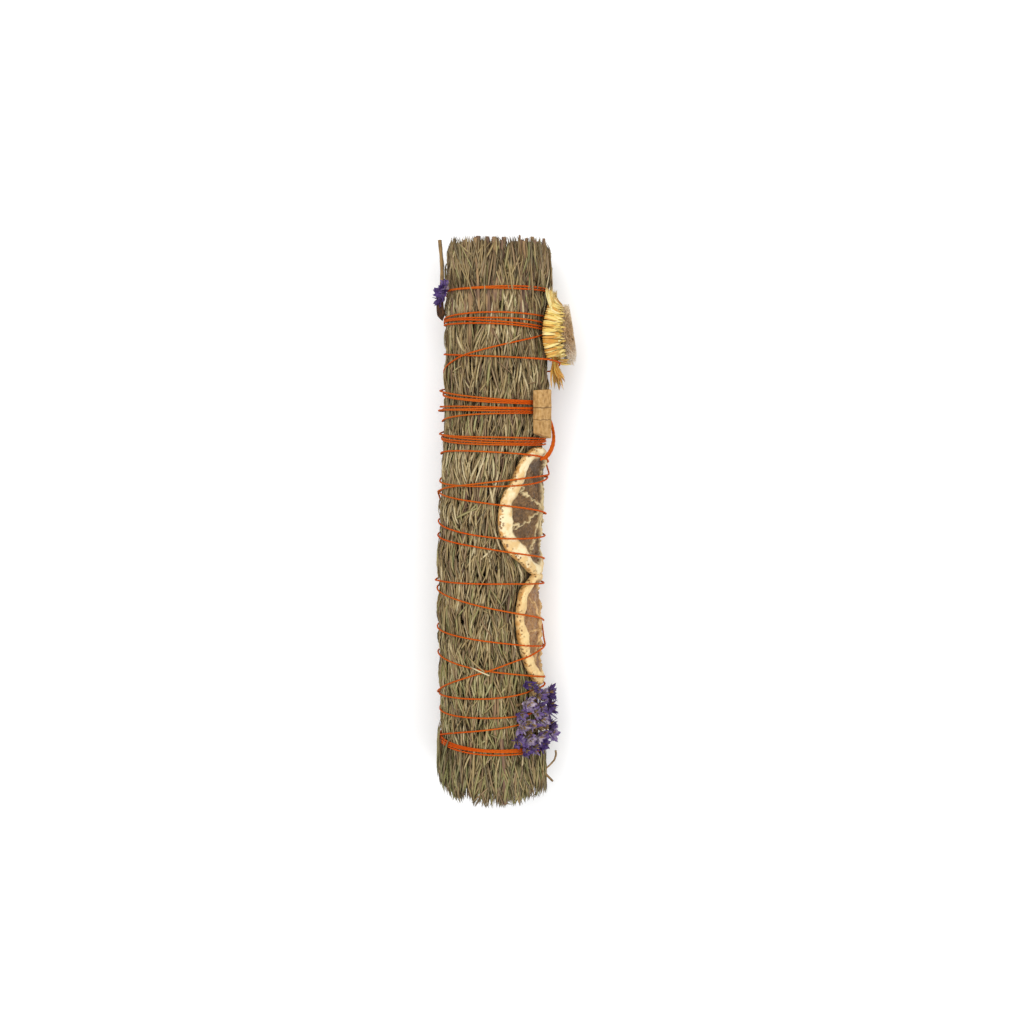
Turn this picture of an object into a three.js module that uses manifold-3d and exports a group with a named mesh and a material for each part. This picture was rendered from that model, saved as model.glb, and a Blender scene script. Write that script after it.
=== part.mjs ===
// A dried herb bundle: rosemary sprigs wound with one long thread, which also ties in two dried
// citrus slices, a strawflower, sea lavender and a chip of wood. It lies on its side.
// Millimetres, +Z up. The bundle lies along Y, with most of its cut stems at the +Y end.
// Angles round the bundle are in degrees from the top (+Z), turning toward +X.

import * as THREE from "three";
import { mergeVertices } from "three/addons/utils/BufferGeometryUtils.js";
import Module from "manifold-3d";

const wasm = await Module();
wasm.setup();

// The bundle
const AXIS_HEIGHT = 21;
const TOP_END = 105.4;
const BOTTOM_END = -109.3;
const BOTTOM_CORNER_RISE = 5;
const NEEDLE_REACH = 19.3;
const TUFT_REACH = 20.9;
const UNDERSIDE_DEPTH = 18.4;
const TOP_TIE = 90;
const BOTTOM_TIE = -94;
const GAP = 0.3;

// The bundle bows sideways: its middle line's place across is `base` with two soft humps added
const BOW = {
  base: -1,
  humps: [
    { y: -30, across: -1.4, run: 45 },
    { y: 75, across: 2, run: 50 },
  ],
};

// The rosemary
const OUTER_SPRIGS = 12;
const INNER_SPRIGS = 6;
const OUTER_RING_INSIDE = 11.6;
const INNER_RING_INSIDE = 4.1;
const OUTER_STEM_OUT = 15.5;
const INNER_STEM_OUT = 7.9;
const OUTER_NEEDLES = 36;
const INNER_NEEDLES = 14;
const NEEDLE_RADIUS = 0.5;
const NEEDLE_LENGTH = [16, 25];
const STEM_BUTT_RADIUS = 1.2;
const STEM_TIP_RADIUS = 0.7;
const STEM_RINGS = 7;
const LOWEST_STEM_RINGS = 19;
const STEM_SIDES = 4;
const STEM_SWAY = 0.5;
const STEM_SWAY_LENGTH = 23;
const STEM_TOP_ENDS = [99, 102];
const STEM_BOTTOM_ENDS = [-104, -101];
const BUTT_SHORT = [0, 2.5];
const BARE_BUTT = 3;
const OUTER_SPREAD = 125;
const INNER_SPREAD = 180;
const EVEN_TURN = 137.5;
const KNEE = 0.62;
const ROOT_DEPTH = 0.6;
const MOST_SUNK = 0.3;
const LEAST_LEAN = 1.3;
const MOST_LEAN = 12;
const LEAN_STEP = 0.2;
const NEEDLE_CLEAR = 0.05;
const NEEDLE_PROBES = 8;

// The lowest stem, which dips at both ends so that the bundle rests on it there
const LOWEST_STEM_DIP = 5.35;
const LOWEST_DIP = { topStart: 62, bottomStart: -64, run: 38, power: 2.6 };

// The thread
const THREAD_RADIUS = 0.4;
const STEPS_PER_TURN = 12;
const THREAD_OUT = NEEDLE_REACH + GAP + THREAD_RADIUS;
const THREAD_UNDERSIDE = 19.2;
const RETURN_STEP = 0.95;
const RETURN_UNDERSIDE = 20.25;
const UNDERSIDE_HALF_WIDTH = 12;
const UNDERSIDE_FACING = 0.5;
const THREAD_ROUNDS = 40;

// The thread's turns: where each crosses the left side, the top and the right side of the bundle
const TURNS_DOWN = [
  [87.4, 87.6, 87.8],
  [86.4, 86.6, 86.8],
  [77.3, 78.2, 77.3],
  [76.3, 76.2, 75.0],
  [75.3, 74.9, 74.0],
  [74.3, 73.7, 73.0],
  [63.7, 61.9, 60.2],
  [50.0, 46.9, 46.3],
  [49.0, 45.9, 45.3],
  [48.0, 44.9, 44.3],
  [43.9, 43.9, 43.3],
  [42.9, 42.9, 42.3],
  [41.9, 41.9, 41.3],
  [39.5, 40.9, 40.3],
  [33.9, 32.7, 31.9],
  [32.9, 31.7, 30.9],
  [31.9, 30.7, 29.9],
  [30.9, 29.6, 28.9],
  [25.4, 27.3, 22.7],
  [15.8, 14.3, 16.6],
  [10.9, 7.7, 2.6],
  [-0.1, -4.2, -6.0],
  [-5.2, -9.1, -15.3],
  [-23.6, -22.2, -24.4],
  [-26.3, -30.8, -39.7],
  [-41.1, -44.1, -49.6],
  [-51.6, -55.1, -61.6],
  [-68.0, -65.4, -64.4],
  [-74.0, -73.4, -73.2],
  [-84.4, -84.6, -87.2],
  [-85.4, -85.6, -88.2],
  [-86.4, -86.6, -89.2],
  [-87.4, -87.6, -90.2],
];
const TURNS_BACK = [
  [-85.2, -77.6, -77.2],
  [-68.0, -55.1, -47.3],
  [10.9, 16.2, 17.5],
  [56.8, 65.6, 72.4],
];

// The citrus slices: place of the middle, half size round the bundle and along it
const SLICE_INSIDE = 18.3;
const SLICE_THICKNESS = 2.6;
const SLICE_BED = 17.6;
const PULP_TOP = 1.5;
const MEMBRANE_RISE = 0.7;
const SLICE_SEGMENTS = 10;
const SLICE_MARGIN = 1.5;
const UPPER_SLICE = { angle: 74, y: 4.4, across: 22.6, along: 24.3, rind: 1.3, pith: 3.6 };
const LOWER_SLICE = { angle: 83, y: -42.3, across: 19.6, along: 21.5, rind: 1.3, pith: 2.6 };

// The strawflower, which sits outside the thread
const FLOWER = { angle: 89, y: 71, inside: 22, straightFrom: 100 };
const FLOWER_CROSSING = 65;
const FLOWER_CLEAR = 19.5;
const BRACT_THICKNESS = 0.9;
const OUTER_BRACTS = 13;
const MIDDLE_BRACTS = 12;
const DISC_RADIUS = 10.4;
const DISC_TOP = 8.6;
const OUTER_BRACT_TOP = 1.7;
const OUTER_BRACT_REACH = 15.4;
const LOW_BRACT_EXTRA = 6.7;
const PINCHED_BRACT_EXTRA = 5.5;
const BRACT_UNEVENNESS = 0.8;
const DISC_WAVE = 0.4;

// The sea lavender spray, whose stem runs under the thread while its florets stand out between turns
const SPRAY_STEM_OUT = 18.5;
const SPRAY_STEM_ANGLE = 74;
const SPRAY_BED = { out: 17.5, from: 12, to: 125, top: -62, margin: 1.6 };
const SPRAY_ROWS = [
  { y: -69.3, angles: [25, 43, 61, 79, 99] },
  { y: -81.5, angles: [25, 45, 65, 86, 106] },
];
const BRANCH_RINGS = 9;
const FLORET_OUT = 20.6;
const SIDE_FLORET_OUT = 21.8;
const FLORET_RADIUS = 3.2;
const FLORET_HEIGHT = 3.4;
const FLORET_DENT = 1.3;
const FLORET_NOTCH = 0.7;
const LOWEST_FLORET = { angle: 133, out: 24.8 };

// The needles stay back from the twig at the left of the top end
const LEFT_TWIG_BED = { out: 19.3, from: -104, to: -66, bottom: 84 };

// The chip of wood
const CHIP = { angle: 52, y: 41, width: 8, length: 18.4, thickness: 3, out: 21.25, bevel: 0.3 };

const COLOURS = {
  rosemary: [0x7b6a48, 0x857355, 0x6c6142, 0x8c7a56, 0x766850],
  thread: 0xcc540e,
  citrus: 0xc79a5a,
  bracts: 0xd9b865,
  disc: 0xaa885f,
  seaLavender: 0x7a5f8c,
  chip: 0xc29960,
};

const rad = THREE.MathUtils.degToRad;
const floorPlane = -AXIS_HEIGHT;

/** A repeatable source of random numbers between 0 and 1. */
function seeded(seed) {
  let state = seed * 7919 + 17;
  return () => {
    state = (state * 1664525 + 1013904223) % 4294967296;
    return state / 4294967296;
  };
}

/** Numbers in even steps, with both ends. */
function evenly(from, to, count) {
  return Array.from({ length: count }, (_, k) => THREE.MathUtils.lerp(from, to, k / (count - 1)));
}

/** The point at an angle round the bundle and a distance out from its axis. */
function around(angle, out, y) {
  return new THREE.Vector3(out * Math.sin(rad(angle)), y, out * Math.cos(rad(angle)));
}

function angleOf(x, z) {
  return THREE.MathUtils.radToDeg(Math.atan2(x, z));
}

/** The difference between two angles, from -180 to 180 degrees. */
function turnBetween(from, to) {
  return ((((to - from + 180) % 360) + 360) % 360) - 180;
}

/** A solid from closed three.js geometry, its faces turned to point out. */
function solidFrom(geometry) {
  const bare = geometry.clone();
  bare.deleteAttribute("normal");
  bare.deleteAttribute("uv");
  const merged = mergeVertices(bare, 1e-4);
  const position = merged.getAttribute("position");
  const corner = (index) => new THREE.Vector3().fromBufferAttribute(position, index);
  const triangles = [];
  let volume = 0;
  for (let k = 0; k < merged.index.count; k += 3) {
    const [a, b, c] = [0, 1, 2].map((n) => merged.index.getX(k + n));
    if (a === b || b === c || a === c) continue;
    triangles.push([a, b, c]);
    volume += corner(a).dot(corner(b).cross(corner(c))) / 6;
  }
  const facingOut = volume > 0 ? triangles : triangles.map(([a, b, c]) => [a, c, b]);
  return new wasm.Manifold(
    new wasm.Mesh({
      numProp: 3,
      vertProperties: new Float32Array(position.array),
      triVerts: new Uint32Array(facingOut.flat()),
    }),
  );
}

/** Geometry from a manifold solid. */
function geometryFrom(solid) {
  const mesh = solid.getMesh();
  const geometry = new THREE.BufferGeometry();
  geometry.setAttribute("position", new THREE.BufferAttribute(mesh.vertProperties, 3));
  geometry.setIndex(new THREE.BufferAttribute(mesh.triVerts, 1));
  return geometry;
}

function joined(geometries) {
  return wasm.Manifold.union(geometries.map(solidFrom));
}

/** The solid with all that is below the surface the bundle lies on cut off flat. */
function restedOnFloor(solid) {
  const size = 3 * TOP_END;
  const below = new THREE.BoxGeometry(size, size, size);
  below.translate(0, 0, floorPlane - size / 2);
  return solid.subtract(solidFrom(below));
}

/** How far toward +X the bundle's middle line lies at a place along it. */
function bowAt(y) {
  return BOW.humps.reduce((across, hump) => {
    return across + hump.across * Math.exp(-(((y - hump.y) / hump.run) ** 2));
  }, BOW.base);
}

/** Moves geometry sideways with the bundle's bow. */
function bowed(geometry) {
  const position = geometry.getAttribute("position");
  for (let k = 0; k < position.count; k += 1) {
    position.setX(k, position.getX(k) + bowAt(position.getY(k)));
  }
  geometry.computeVertexNormals();
  return geometry;
}

function pieceOf(name, solid, colour, roughness = 0.9) {
  const geometry = bowed(geometryFrom(solid));
  const material = new THREE.MeshStandardMaterial({ color: colour, roughness, metalness: 0 });
  const piece = new THREE.Mesh(geometry, material);
  piece.name = name;
  return piece;
}

/**
 * A closed rod or blade through rings. Each ring has its middle, its half width along `wide` and
 * its half thickness along `thick`, or along its own. A ring of no size is a point.
 */
function spindle(rings, sides, wide, thick, turn = 0) {
  const profile = [new THREE.Vector2(0, 0)];
  rings.forEach((ring, k) => profile.push(new THREE.Vector2(1, k)));
  profile.push(new THREE.Vector2(0, rings.length - 1));
  const geometry = new THREE.LatheGeometry(profile, sides, turn);
  const position = geometry.getAttribute("position");
  const place = new THREE.Vector3();
  for (let k = 0; k < position.count; k += 1) {
    const ring = rings[Math.round(position.getY(k))];
    place.copy(ring.at);
    place.addScaledVector(wide, position.getX(k) * ring.width);
    place.addScaledVector(ring.thick ?? thick, position.getZ(k) * (ring.thickness ?? ring.width));
    position.setXYZ(k, place.x, place.y, place.z);
  }
  return geometry;
}

const X = new THREE.Vector3(1, 0, 0);
const Y = new THREE.Vector3(0, 1, 0);
const Z = new THREE.Vector3(0, 0, 1);

/**
 * Bends flat geometry, made round its own middle with +Z as its outside, onto the bundle. Past
 * place.straightFrom, if there is one, it goes on straight.
 */
function wrapped(geometry, place) {
  const position = geometry.getAttribute("position");
  for (let k = 0; k < position.count; k += 1) {
    const out = place.inside + position.getZ(k);
    const angle = place.angle + THREE.MathUtils.radToDeg(position.getX(k) / place.inside);
    const bent = Math.min(angle, place.straightFrom ?? 360);
    const point = around(bent, out, place.y + position.getY(k));
    point.addScaledVector(around(bent + 90, 1, 0), rad(angle - bent) * place.inside);
    position.setXYZ(k, point.x, point.y, point.z);
  }
  return geometry;
}

/** How far inside a slice's outline a place on the bundle is: 0 at the middle, 1 at the edge. */
function shareOfSlice(slice, angle, y) {
  const middleOut = SLICE_INSIDE + SLICE_THICKNESS / 2;
  const across = rad(turnBetween(slice.angle, angle)) * middleOut;
  return Math.hypot(across / slice.across, (y - slice.y) / slice.along);
}

function nearSlice(angle, y, margin) {
  return [UPPER_SLICE, LOWER_SLICE].some(
    (slice) => shareOfSlice(slice, angle, y) < 1 + margin / slice.across,
  );
}

/** Whether a place is over the stem or a branch of the sea lavender spray. */
function overSpray(angle, y) {
  const { margin, from, to, top } = SPRAY_BED;
  const fromStem = Math.abs(rad(turnBetween(SPRAY_STEM_ANGLE, angle))) * SPRAY_STEM_OUT;
  if (fromStem < margin && y < top) return true;
  return SPRAY_ROWS.some((row) => Math.abs(y - row.y) < margin && angle > from && angle < to);
}

function overLeftTwig(angle, y) {
  return y > LEFT_TWIG_BED.bottom && angle > LEFT_TWIG_BED.from && angle < LEFT_TWIG_BED.to;
}

/** How far out from the axis a needle may reach at an angle and a place along the bundle. */
function needleReach(angle, y) {
  const pastTop = (y - TOP_TIE) / (TOP_END - TOP_TIE);
  const pastBottom = (y - BOTTOM_TIE) / (BOTTOM_END - BOTTOM_TIE);
  const pastTie = Math.max(pastTop, pastBottom);
  const flare = THREE.MathUtils.clamp(pastTie, 0, 1);
  let reach = THREE.MathUtils.lerp(NEEDLE_REACH, TUFT_REACH, flare);
  if (nearSlice(angle, y, SLICE_MARGIN)) reach = SLICE_BED;
  if (overLeftTwig(angle, y)) reach = Math.min(reach, LEFT_TWIG_BED.out);
  if (overSpray(angle, y)) reach = Math.min(reach, SPRAY_BED.out);
  const depth = THREE.MathUtils.lerp(UNDERSIDE_DEPTH, AXIS_HEIGHT, flare);
  const down = -Math.cos(rad(angle));
  return down > UNDERSIDE_FACING ? Math.min(reach, depth / down) : reach;
}

/** The cells that the sprigs fill: where each stem is, and the flat sides that it keeps inside of. */
function sprigCells() {
  const outerHalf = 180 / OUTER_SPRIGS;
  const innerHalf = 180 / INNER_SPRIGS;
  const outerAngles = Array.from({ length: OUTER_SPRIGS }, (_, k) => 2 * outerHalf * k);
  const innerAngles = Array.from({ length: INNER_SPRIGS }, (_, k) => 2 * innerHalf * k);
  const outer = outerAngles.map((angle) => ({
    angle,
    out: OUTER_STEM_OUT,
    needles: OUTER_NEEDLES,
    spread: OUTER_SPREAD,
    sides: [
      { angle: angle + outerHalf + 90, most: -GAP / 2 },
      { angle: angle - outerHalf - 90, most: -GAP / 2 },
      { angle: angle + 180, most: -OUTER_RING_INSIDE - GAP / 2 },
    ],
  }));
  const inner = innerAngles.map((angle) => ({
    angle,
    out: INNER_STEM_OUT,
    needles: INNER_NEEDLES,
    spread: INNER_SPREAD,
    sides: [
      { angle: angle + innerHalf + 90, most: -GAP / 2 },
      { angle: angle - innerHalf - 90, most: -GAP / 2 },
      { angle: angle + 180, most: -INNER_RING_INSIDE - GAP / 2 },
      ...outerAngles.map((side) => ({ angle: side, most: OUTER_RING_INSIDE - GAP / 2 })),
    ],
  }));
  const middle = {
    angle: 0,
    out: 0,
    needles: INNER_NEEDLES,
    spread: INNER_SPREAD,
    sides: innerAngles.map((side) => ({ angle: side, most: INNER_RING_INSIDE - GAP / 2 })),
  };
  return [...outer, ...inner, middle];
}

/** How far a needle may lean from its stem in one direction before it leaves its cell. */
function roomInCell(cell, from, angle, y) {
  const margin = NEEDLE_RADIUS + NEEDLE_CLEAR;
  const direction = around(angle, 1, 0);
  let room = MOST_LEAN;
  for (const side of cell.sides) {
    const normal = around(side.angle, 1, 0);
    const toward = normal.x * direction.x + normal.z * direction.z;
    const clear = side.most - margin - (normal.x * from.x + normal.z * from.z);
    if (toward > 1e-6) room = Math.min(room, clear / toward);
  }
  for (let lean = 0; lean < room; lean += LEAN_STEP) {
    const x = from.x + direction.x * lean;
    const z = from.z + direction.z * lean;
    const tooFar = Math.hypot(x, z) + margin > needleReach(angleOf(x, z), y);
    if (tooFar) return Math.max(lean - LEAN_STEP, 0);
  }
  return Math.max(room, 0);
}

/** The trimmed end of the bundle under the tips: rounded, and higher at its left corner. */
function bottomEnd(x, z) {
  const out = Math.hypot(x, z) / NEEDLE_REACH;
  const left = THREE.MathUtils.clamp(-x / NEEDLE_REACH, 0, 1);
  return BOTTOM_END + 1.2 * out * out + BOTTOM_CORNER_RISE * left * left;
}

function isLowest(cell) {
  return cell.angle === 180 && cell.out === OUTER_STEM_OUT;
}

/** The middle of a sprig's stem at a place along the bundle. The lowest one dips at both ends. */
function stemMiddle(cell, y, sway) {
  if (cell.out === 0) return new THREE.Vector3(0, y, 0);
  const swayed = cell.out + STEM_SWAY * Math.sin(y / STEM_SWAY_LENGTH + sway);
  if (!isLowest(cell)) return around(cell.angle, swayed, y);
  const past = Math.max(y - LOWEST_DIP.topStart, LOWEST_DIP.bottomStart - y) / LOWEST_DIP.run;
  const dip = THREE.MathUtils.clamp(past, 0, 1) ** LOWEST_DIP.power;
  return new THREE.Vector3(0, y, -OUTER_STEM_OUT - LOWEST_STEM_DIP * dip);
}

/** One needle as a root, a knee and a tip, leaning as far as its cell lets it, or none. */
function needle(cell, rootY, tipY, angle, lean, sway, turn) {
  const root = stemMiddle(cell, rootY, sway);
  const roomAt = (share) => roomInCell(cell, root, angle, THREE.MathUtils.lerp(rootY, tipY, share));
  const toKnee = evenly(0.1, KNEE, NEEDLE_PROBES);
  const kneeLean = lean * Math.min(...toKnee.map((share) => (roomAt(share) * KNEE) / share));
  if (kneeLean < LEAST_LEAN) return [];
  const pastKnee = evenly(1, KNEE, NEEDLE_PROBES).slice(0, -1);
  const leans = pastKnee.map((share) => {
    return kneeLean + ((roomAt(share) - kneeLean) * (1 - KNEE)) / (share - KNEE);
  });
  const tipLean = Math.min(...leans);
  const knee = root.clone().add(around(angle, kneeLean, (tipY - rootY) * KNEE));
  const tip = root.clone().add(around(angle, Math.max(tipLean, 0), tipY - rootY));
  const sunk = Math.min(ROOT_DEPTH / kneeLean, MOST_SUNK);
  const rings = [
    { at: root.clone().lerp(knee, -sunk), width: 0 },
    { at: knee, width: NEEDLE_RADIUS },
    { at: tip, width: 0 },
  ];
  return [spindle(rings, 3, X, Z, turn)];
}

/** One sprig: a woody stem and its needles, all leaning toward the sprig's tip. */
function sprig(cell, index) {
  const random = seeded(index + 1);
  const between = (least, most) => THREE.MathUtils.lerp(least, most, random());
  const sway = between(0, 6);
  const tipUp = index % 3 === 2;
  const toTip = tipUp ? 1 : -1;
  const butt = tipUp ? between(...STEM_BOTTOM_ENDS) : TOP_END - between(...BUTT_SHORT);
  const tip = tipUp ? between(...STEM_TOP_ENDS) : between(...STEM_BOTTOM_ENDS);
  const ringCount = isLowest(cell) ? LOWEST_STEM_RINGS : STEM_RINGS;
  const stemRings = evenly(0, 1, ringCount).map((share) => {
    const width = THREE.MathUtils.lerp(STEM_BUTT_RADIUS, STEM_TIP_RADIUS, share);
    return { at: stemMiddle(cell, THREE.MathUtils.lerp(butt, tip, share), sway), width };
  });
  const pieces = [spindle(stemRings, STEM_SIDES, X, Z, between(0, 3))];
  for (let k = 0; k < cell.needles; k += 1) {
    const share = (k + between(0.3, 0.7)) / cell.needles;
    const rootY = THREE.MathUtils.lerp(butt + toTip * BARE_BUTT, tip, share);
    const evenTurn = ((k * EVEN_TURN) % 360) / 180 - 1;
    const angle = cell.angle + evenTurn * cell.spread;
    const middle = stemMiddle(cell, rootY, sway);
    const wanted = rootY + toTip * between(...NEEDLE_LENGTH);
    const trim = tipUp ? TOP_END - between(0, 2) : bottomEnd(middle.x, middle.z) + between(0, 1.5);
    const tipY = tipUp ? Math.min(wanted, trim) : Math.max(wanted, trim);
    pieces.push(...needle(cell, rootY, tipY, angle, between(0.75, 1), sway, between(0, 2)));
  }
  return restedOnFloor(joined(pieces));
}

/** The thread's place along the bundle where it has turned through `turned` degrees. */
function threadY(turned) {
  const turns = [...TURNS_DOWN, ...TURNS_BACK];
  const turn = THREE.MathUtils.clamp(Math.floor((turned + 90) / 360), 0, turns.length - 1);
  const [left, top, right] = turns[turn];
  const angle = turned - 360 * turn;
  if (angle <= 90) {
    const side = Math.max(angle, -90) / 90;
    return top + ((right - left) / 2) * side + ((left + right) / 2 - top) * side * side;
  }
  const nextLeft = turn + 1 < turns.length ? turns[turn + 1][0] : right + 3;
  return THREE.MathUtils.lerp(right, nextLeft, (angle - 90) / 180);
}

/** How much of the way the thread has moved out over its own turns, for the way back. */
function threadLift(turned) {
  const start = 360 * (TURNS_DOWN.length - 1);
  return THREE.MathUtils.smoothstep(turned, start, start + 90);
}

/** The least distance from the axis at which the thread clears what lies under it. */
function threadReach(angle, y, lift) {
  const over = lift * RETURN_STEP;
  const down = -Math.cos(rad(angle));
  const depth = THREE.MathUtils.lerp(THREAD_UNDERSIDE, RETURN_UNDERSIDE, lift);
  let reach = THREAD_OUT + over;
  if (down > UNDERSIDE_FACING) reach = Math.min(reach, depth / down);
  if (nearSlice(angle, y, SLICE_MARGIN)) {
    reach = Math.max(reach, SLICE_INSIDE + SLICE_THICKNESS + GAP + THREAD_RADIUS + over);
  }
  const fromFlower = rad(turnBetween(FLOWER.angle, angle)) * FLOWER.inside;
  if (y < FLOWER_CROSSING && Math.hypot(fromFlower, y - FLOWER.y) < FLOWER_CLEAR) {
    const straightened = Math.max(angle - FLOWER.straightFrom, 0);
    const top = FLOWER.inside + OUTER_BRACT_TOP + GAP + THREAD_RADIUS;
    reach = Math.max(reach, top / Math.cos(rad(straightened)));
  }
  return reach;
}

/** Keeps a thread point over the surface that the bundle lies on. */
function keptUp(point, lift) {
  const depth = THREE.MathUtils.lerp(THREAD_UNDERSIDE, RETURN_UNDERSIDE, lift);
  const beyond = Math.abs(point.x) > UNDERSIDE_HALF_WIDTH;
  point.z = Math.max(point.z, beyond ? -RETURN_UNDERSIDE : -depth);
  return point;
}

/** The thread's way: round the bundle in even steps, pushed out until it clears what is under it. */
function threadPoints() {
  const turns = TURNS_DOWN.length + TURNS_BACK.length;
  const first = -STEPS_PER_TURN / 3;
  const steps = [];
  for (let k = Math.round(first); k <= STEPS_PER_TURN * (turns - 0.25); k += 1) {
    const turned = -90 + (360 / STEPS_PER_TURN) * k;
    const angle = turnBetween(0, turned);
    const y = threadY(turned);
    const lift = threadLift(turned);
    const out = threadReach(angle, y, lift) / Math.cos(Math.PI / STEPS_PER_TURN);
    steps.push({ angle, y, lift, out });
  }
  const pointOf = (step) => keptUp(around(step.angle, step.out, step.y), step.lift);
  for (let round = 0; round < THREAD_ROUNDS; round += 1) {
    for (let k = 1; k < steps.length; k += 1) {
      const [from, to] = [steps[k - 1], steps[k]];
      const [a, b] = [pointOf(from), pointOf(to)];
      for (let share = 0; share <= 1; share += 0.125) {
        const point = a.clone().lerp(b, share);
        const lift = THREE.MathUtils.lerp(from.lift, to.lift, share);
        const needed = threadReach(angleOf(point.x, point.z), point.y, lift);
        const short = needed - Math.hypot(point.x, point.z);
        if (short > 0.01) {
          from.out += short * (1 - share) * 0.7;
          to.out += short * share * 0.7;
        }
      }
    }
  }
  return steps.map(pointOf);
}

/** A curve straight from point to point, the points evenly spaced in its parameter. */
class WoundCurve extends THREE.Curve {
  constructor(points) {
    super();
    this.points = points;
  }

  getPoint(share, target = new THREE.Vector3()) {
    const along = THREE.MathUtils.clamp(share, 0, 1) * (this.points.length - 1);
    const k = Math.min(Math.floor(along), this.points.length - 2);
    return target.copy(this.points[k]).lerp(this.points[k + 1], along - k);
  }

  getPointAt(share, target) {
    return this.getPoint(share, target);
  }

  getTangentAt(share, target) {
    return this.getTangent(share, target);
  }
}

/** The thread: one strand wound down the bundle and back up over its own turns. */
function threadPiece() {
  const points = threadPoints();
  const corners = [0, 1, 2].map((k) => {
    const turn = (2 * Math.PI * k) / 3;
    return new THREE.Vector2(THREAD_RADIUS * Math.cos(turn), THREAD_RADIUS * Math.sin(turn));
  });
  return new THREE.ExtrudeGeometry(new THREE.Shape(corners), {
    steps: points.length - 1,
    bevelEnabled: false,
    extrudePath: new WoundCurve(points),
  });
}

/** A dried citrus slice: a rind, a ring of pith, and pulp sunk between raised membranes. */
function citrusSlice(slice) {
  const rind = 1 - slice.rind / slice.along;
  const pulp = rind - slice.pith / slice.along;
  const top = SLICE_THICKNESS;
  const rings = [
    [0, 0], [0.32, 0], [0.64, 0], [0.95, 0], [1, 0.6], [1, top - 0.5], [rind, top],
    [pulp, top - 0.2], [pulp - 0.04, PULP_TOP], [pulp * 0.5, PULP_TOP], [0.1, PULP_TOP],
    [0, top - 0.4],
  ];
  const profile = rings.map(([share, height]) => new THREE.Vector2(share, height));
  const steps = SLICE_SEGMENTS * 3;
  const geometry = new THREE.LatheGeometry(profile, steps);
  const position = geometry.getAttribute("position");
  for (let k = 0; k < position.count; k += 1) {
    const step = Math.floor(k / profile.length) % steps;
    const around = (2 * Math.PI * step) / steps;
    const waviness = 0.985 + 0.009 * Math.sin(2 * around + 1) + 0.006 * Math.sin(5 * around);
    const onPulp = position.getY(k) === Math.fround(PULP_TOP);
    const height = position.getY(k) + (onPulp && step % 3 === 0 ? MEMBRANE_RISE : 0);
    position.setXYZ(
      k,
      position.getX(k) * slice.across * waviness,
      position.getZ(k) * slice.along * waviness,
      height,
    );
  }
  const middle = (SLICE_THICKNESS / 2 + SLICE_INSIDE) / SLICE_INSIDE;
  geometry.scale(1 / middle, 1, 1);
  return wrapped(geometry, { angle: slice.angle, y: slice.y, inside: SLICE_INSIDE });
}

/** One papery bract of the strawflower, as a thin pointed blade reaching out from the middle. */
function bract(direction, from, reach, heights, halfWidth) {
  const outward = new THREE.Vector3(Math.cos(direction), Math.sin(direction), 0);
  const across = new THREE.Vector3(-outward.y, outward.x, 0);
  const shares = [0, 0.6, 1];
  const widths = [0.45, 1, 0];
  const rings = shares.map((share, k) => {
    const at = outward.clone().multiplyScalar(THREE.MathUtils.lerp(from, reach, share));
    at.z = THREE.MathUtils.lerp(heights[0], heights[1], share * share);
    const width = halfWidth * widths[k];
    return { at, width, thickness: width === 0 ? 0 : BRACT_THICKNESS / 2 };
  });
  return wrapped(spindle(rings, 4, across, Z), FLOWER);
}

/** The strawflower's receptacle with two layers of bracts. The lowest bracts reach the surface. */
function strawflowerBracts() {
  const random = seeded(71);
  const base = [[0, 0.1], [5.8, 0.1], [6.4, 0.8], [5.6, 1.8], [0, 1.8]];
  const receptacle = new THREE.LatheGeometry(base.map(([out, up]) => new THREE.Vector2(out, up)), 12);
  receptacle.rotateX(Math.PI / 2);
  const pieces = [wrapped(receptacle, FLOWER)];
  for (let k = 0; k < OUTER_BRACTS; k += 1) {
    const direction = (2 * Math.PI * k) / OUTER_BRACTS;
    const down = Math.max(Math.cos(direction), 0);
    const toTips = Math.max(-Math.sin(direction), 0);
    const extra = LOW_BRACT_EXTRA * down ** 4 + PINCHED_BRACT_EXTRA * toTips ** 5;
    const reach = OUTER_BRACT_REACH + extra + BRACT_UNEVENNESS * random();
    pieces.push(bract(direction, 4, reach, [0.7, 1.1], 2.4));
  }
  for (let k = 0; k < MIDDLE_BRACTS; k += 1) {
    const direction = (2 * Math.PI * (k + 0.5)) / MIDDLE_BRACTS;
    const reach = Math.sin(direction) < -0.5 ? 9.5 : 11.2 + random();
    pieces.push(bract(direction, 3.6, reach, [1.3, 5], 1.9));
  }
  return restedOnFloor(joined(pieces));
}

/** The strawflower's fluffy middle: a dome with a waved surface, over the receptacle. */
function strawflowerDisc() {
  const outline = [
    [0, 2.15], [3.6, 2.15], [8.4, 5.4], [DISC_RADIUS, 6.6], [9, 7.8], [5, 8.4], [0, DISC_TOP],
  ];
  const profile = outline.map(([out, up]) => new THREE.Vector2(out, up));
  const steps = 18;
  const geometry = new THREE.LatheGeometry(profile, steps);
  geometry.rotateX(Math.PI / 2);
  const position = geometry.getAttribute("position");
  for (let k = 0; k < position.count; k += 1) {
    const ring = k % profile.length;
    const step = Math.floor(k / profile.length) % steps;
    const onTop = ring > 1 && ring < profile.length - 1;
    const waved = onTop ? DISC_WAVE * Math.sin(step * 2.1 + ring * 1.7) : 0;
    position.setZ(k, position.getZ(k) + waved);
  }
  return wrapped(geometry, FLOWER);
}

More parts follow.
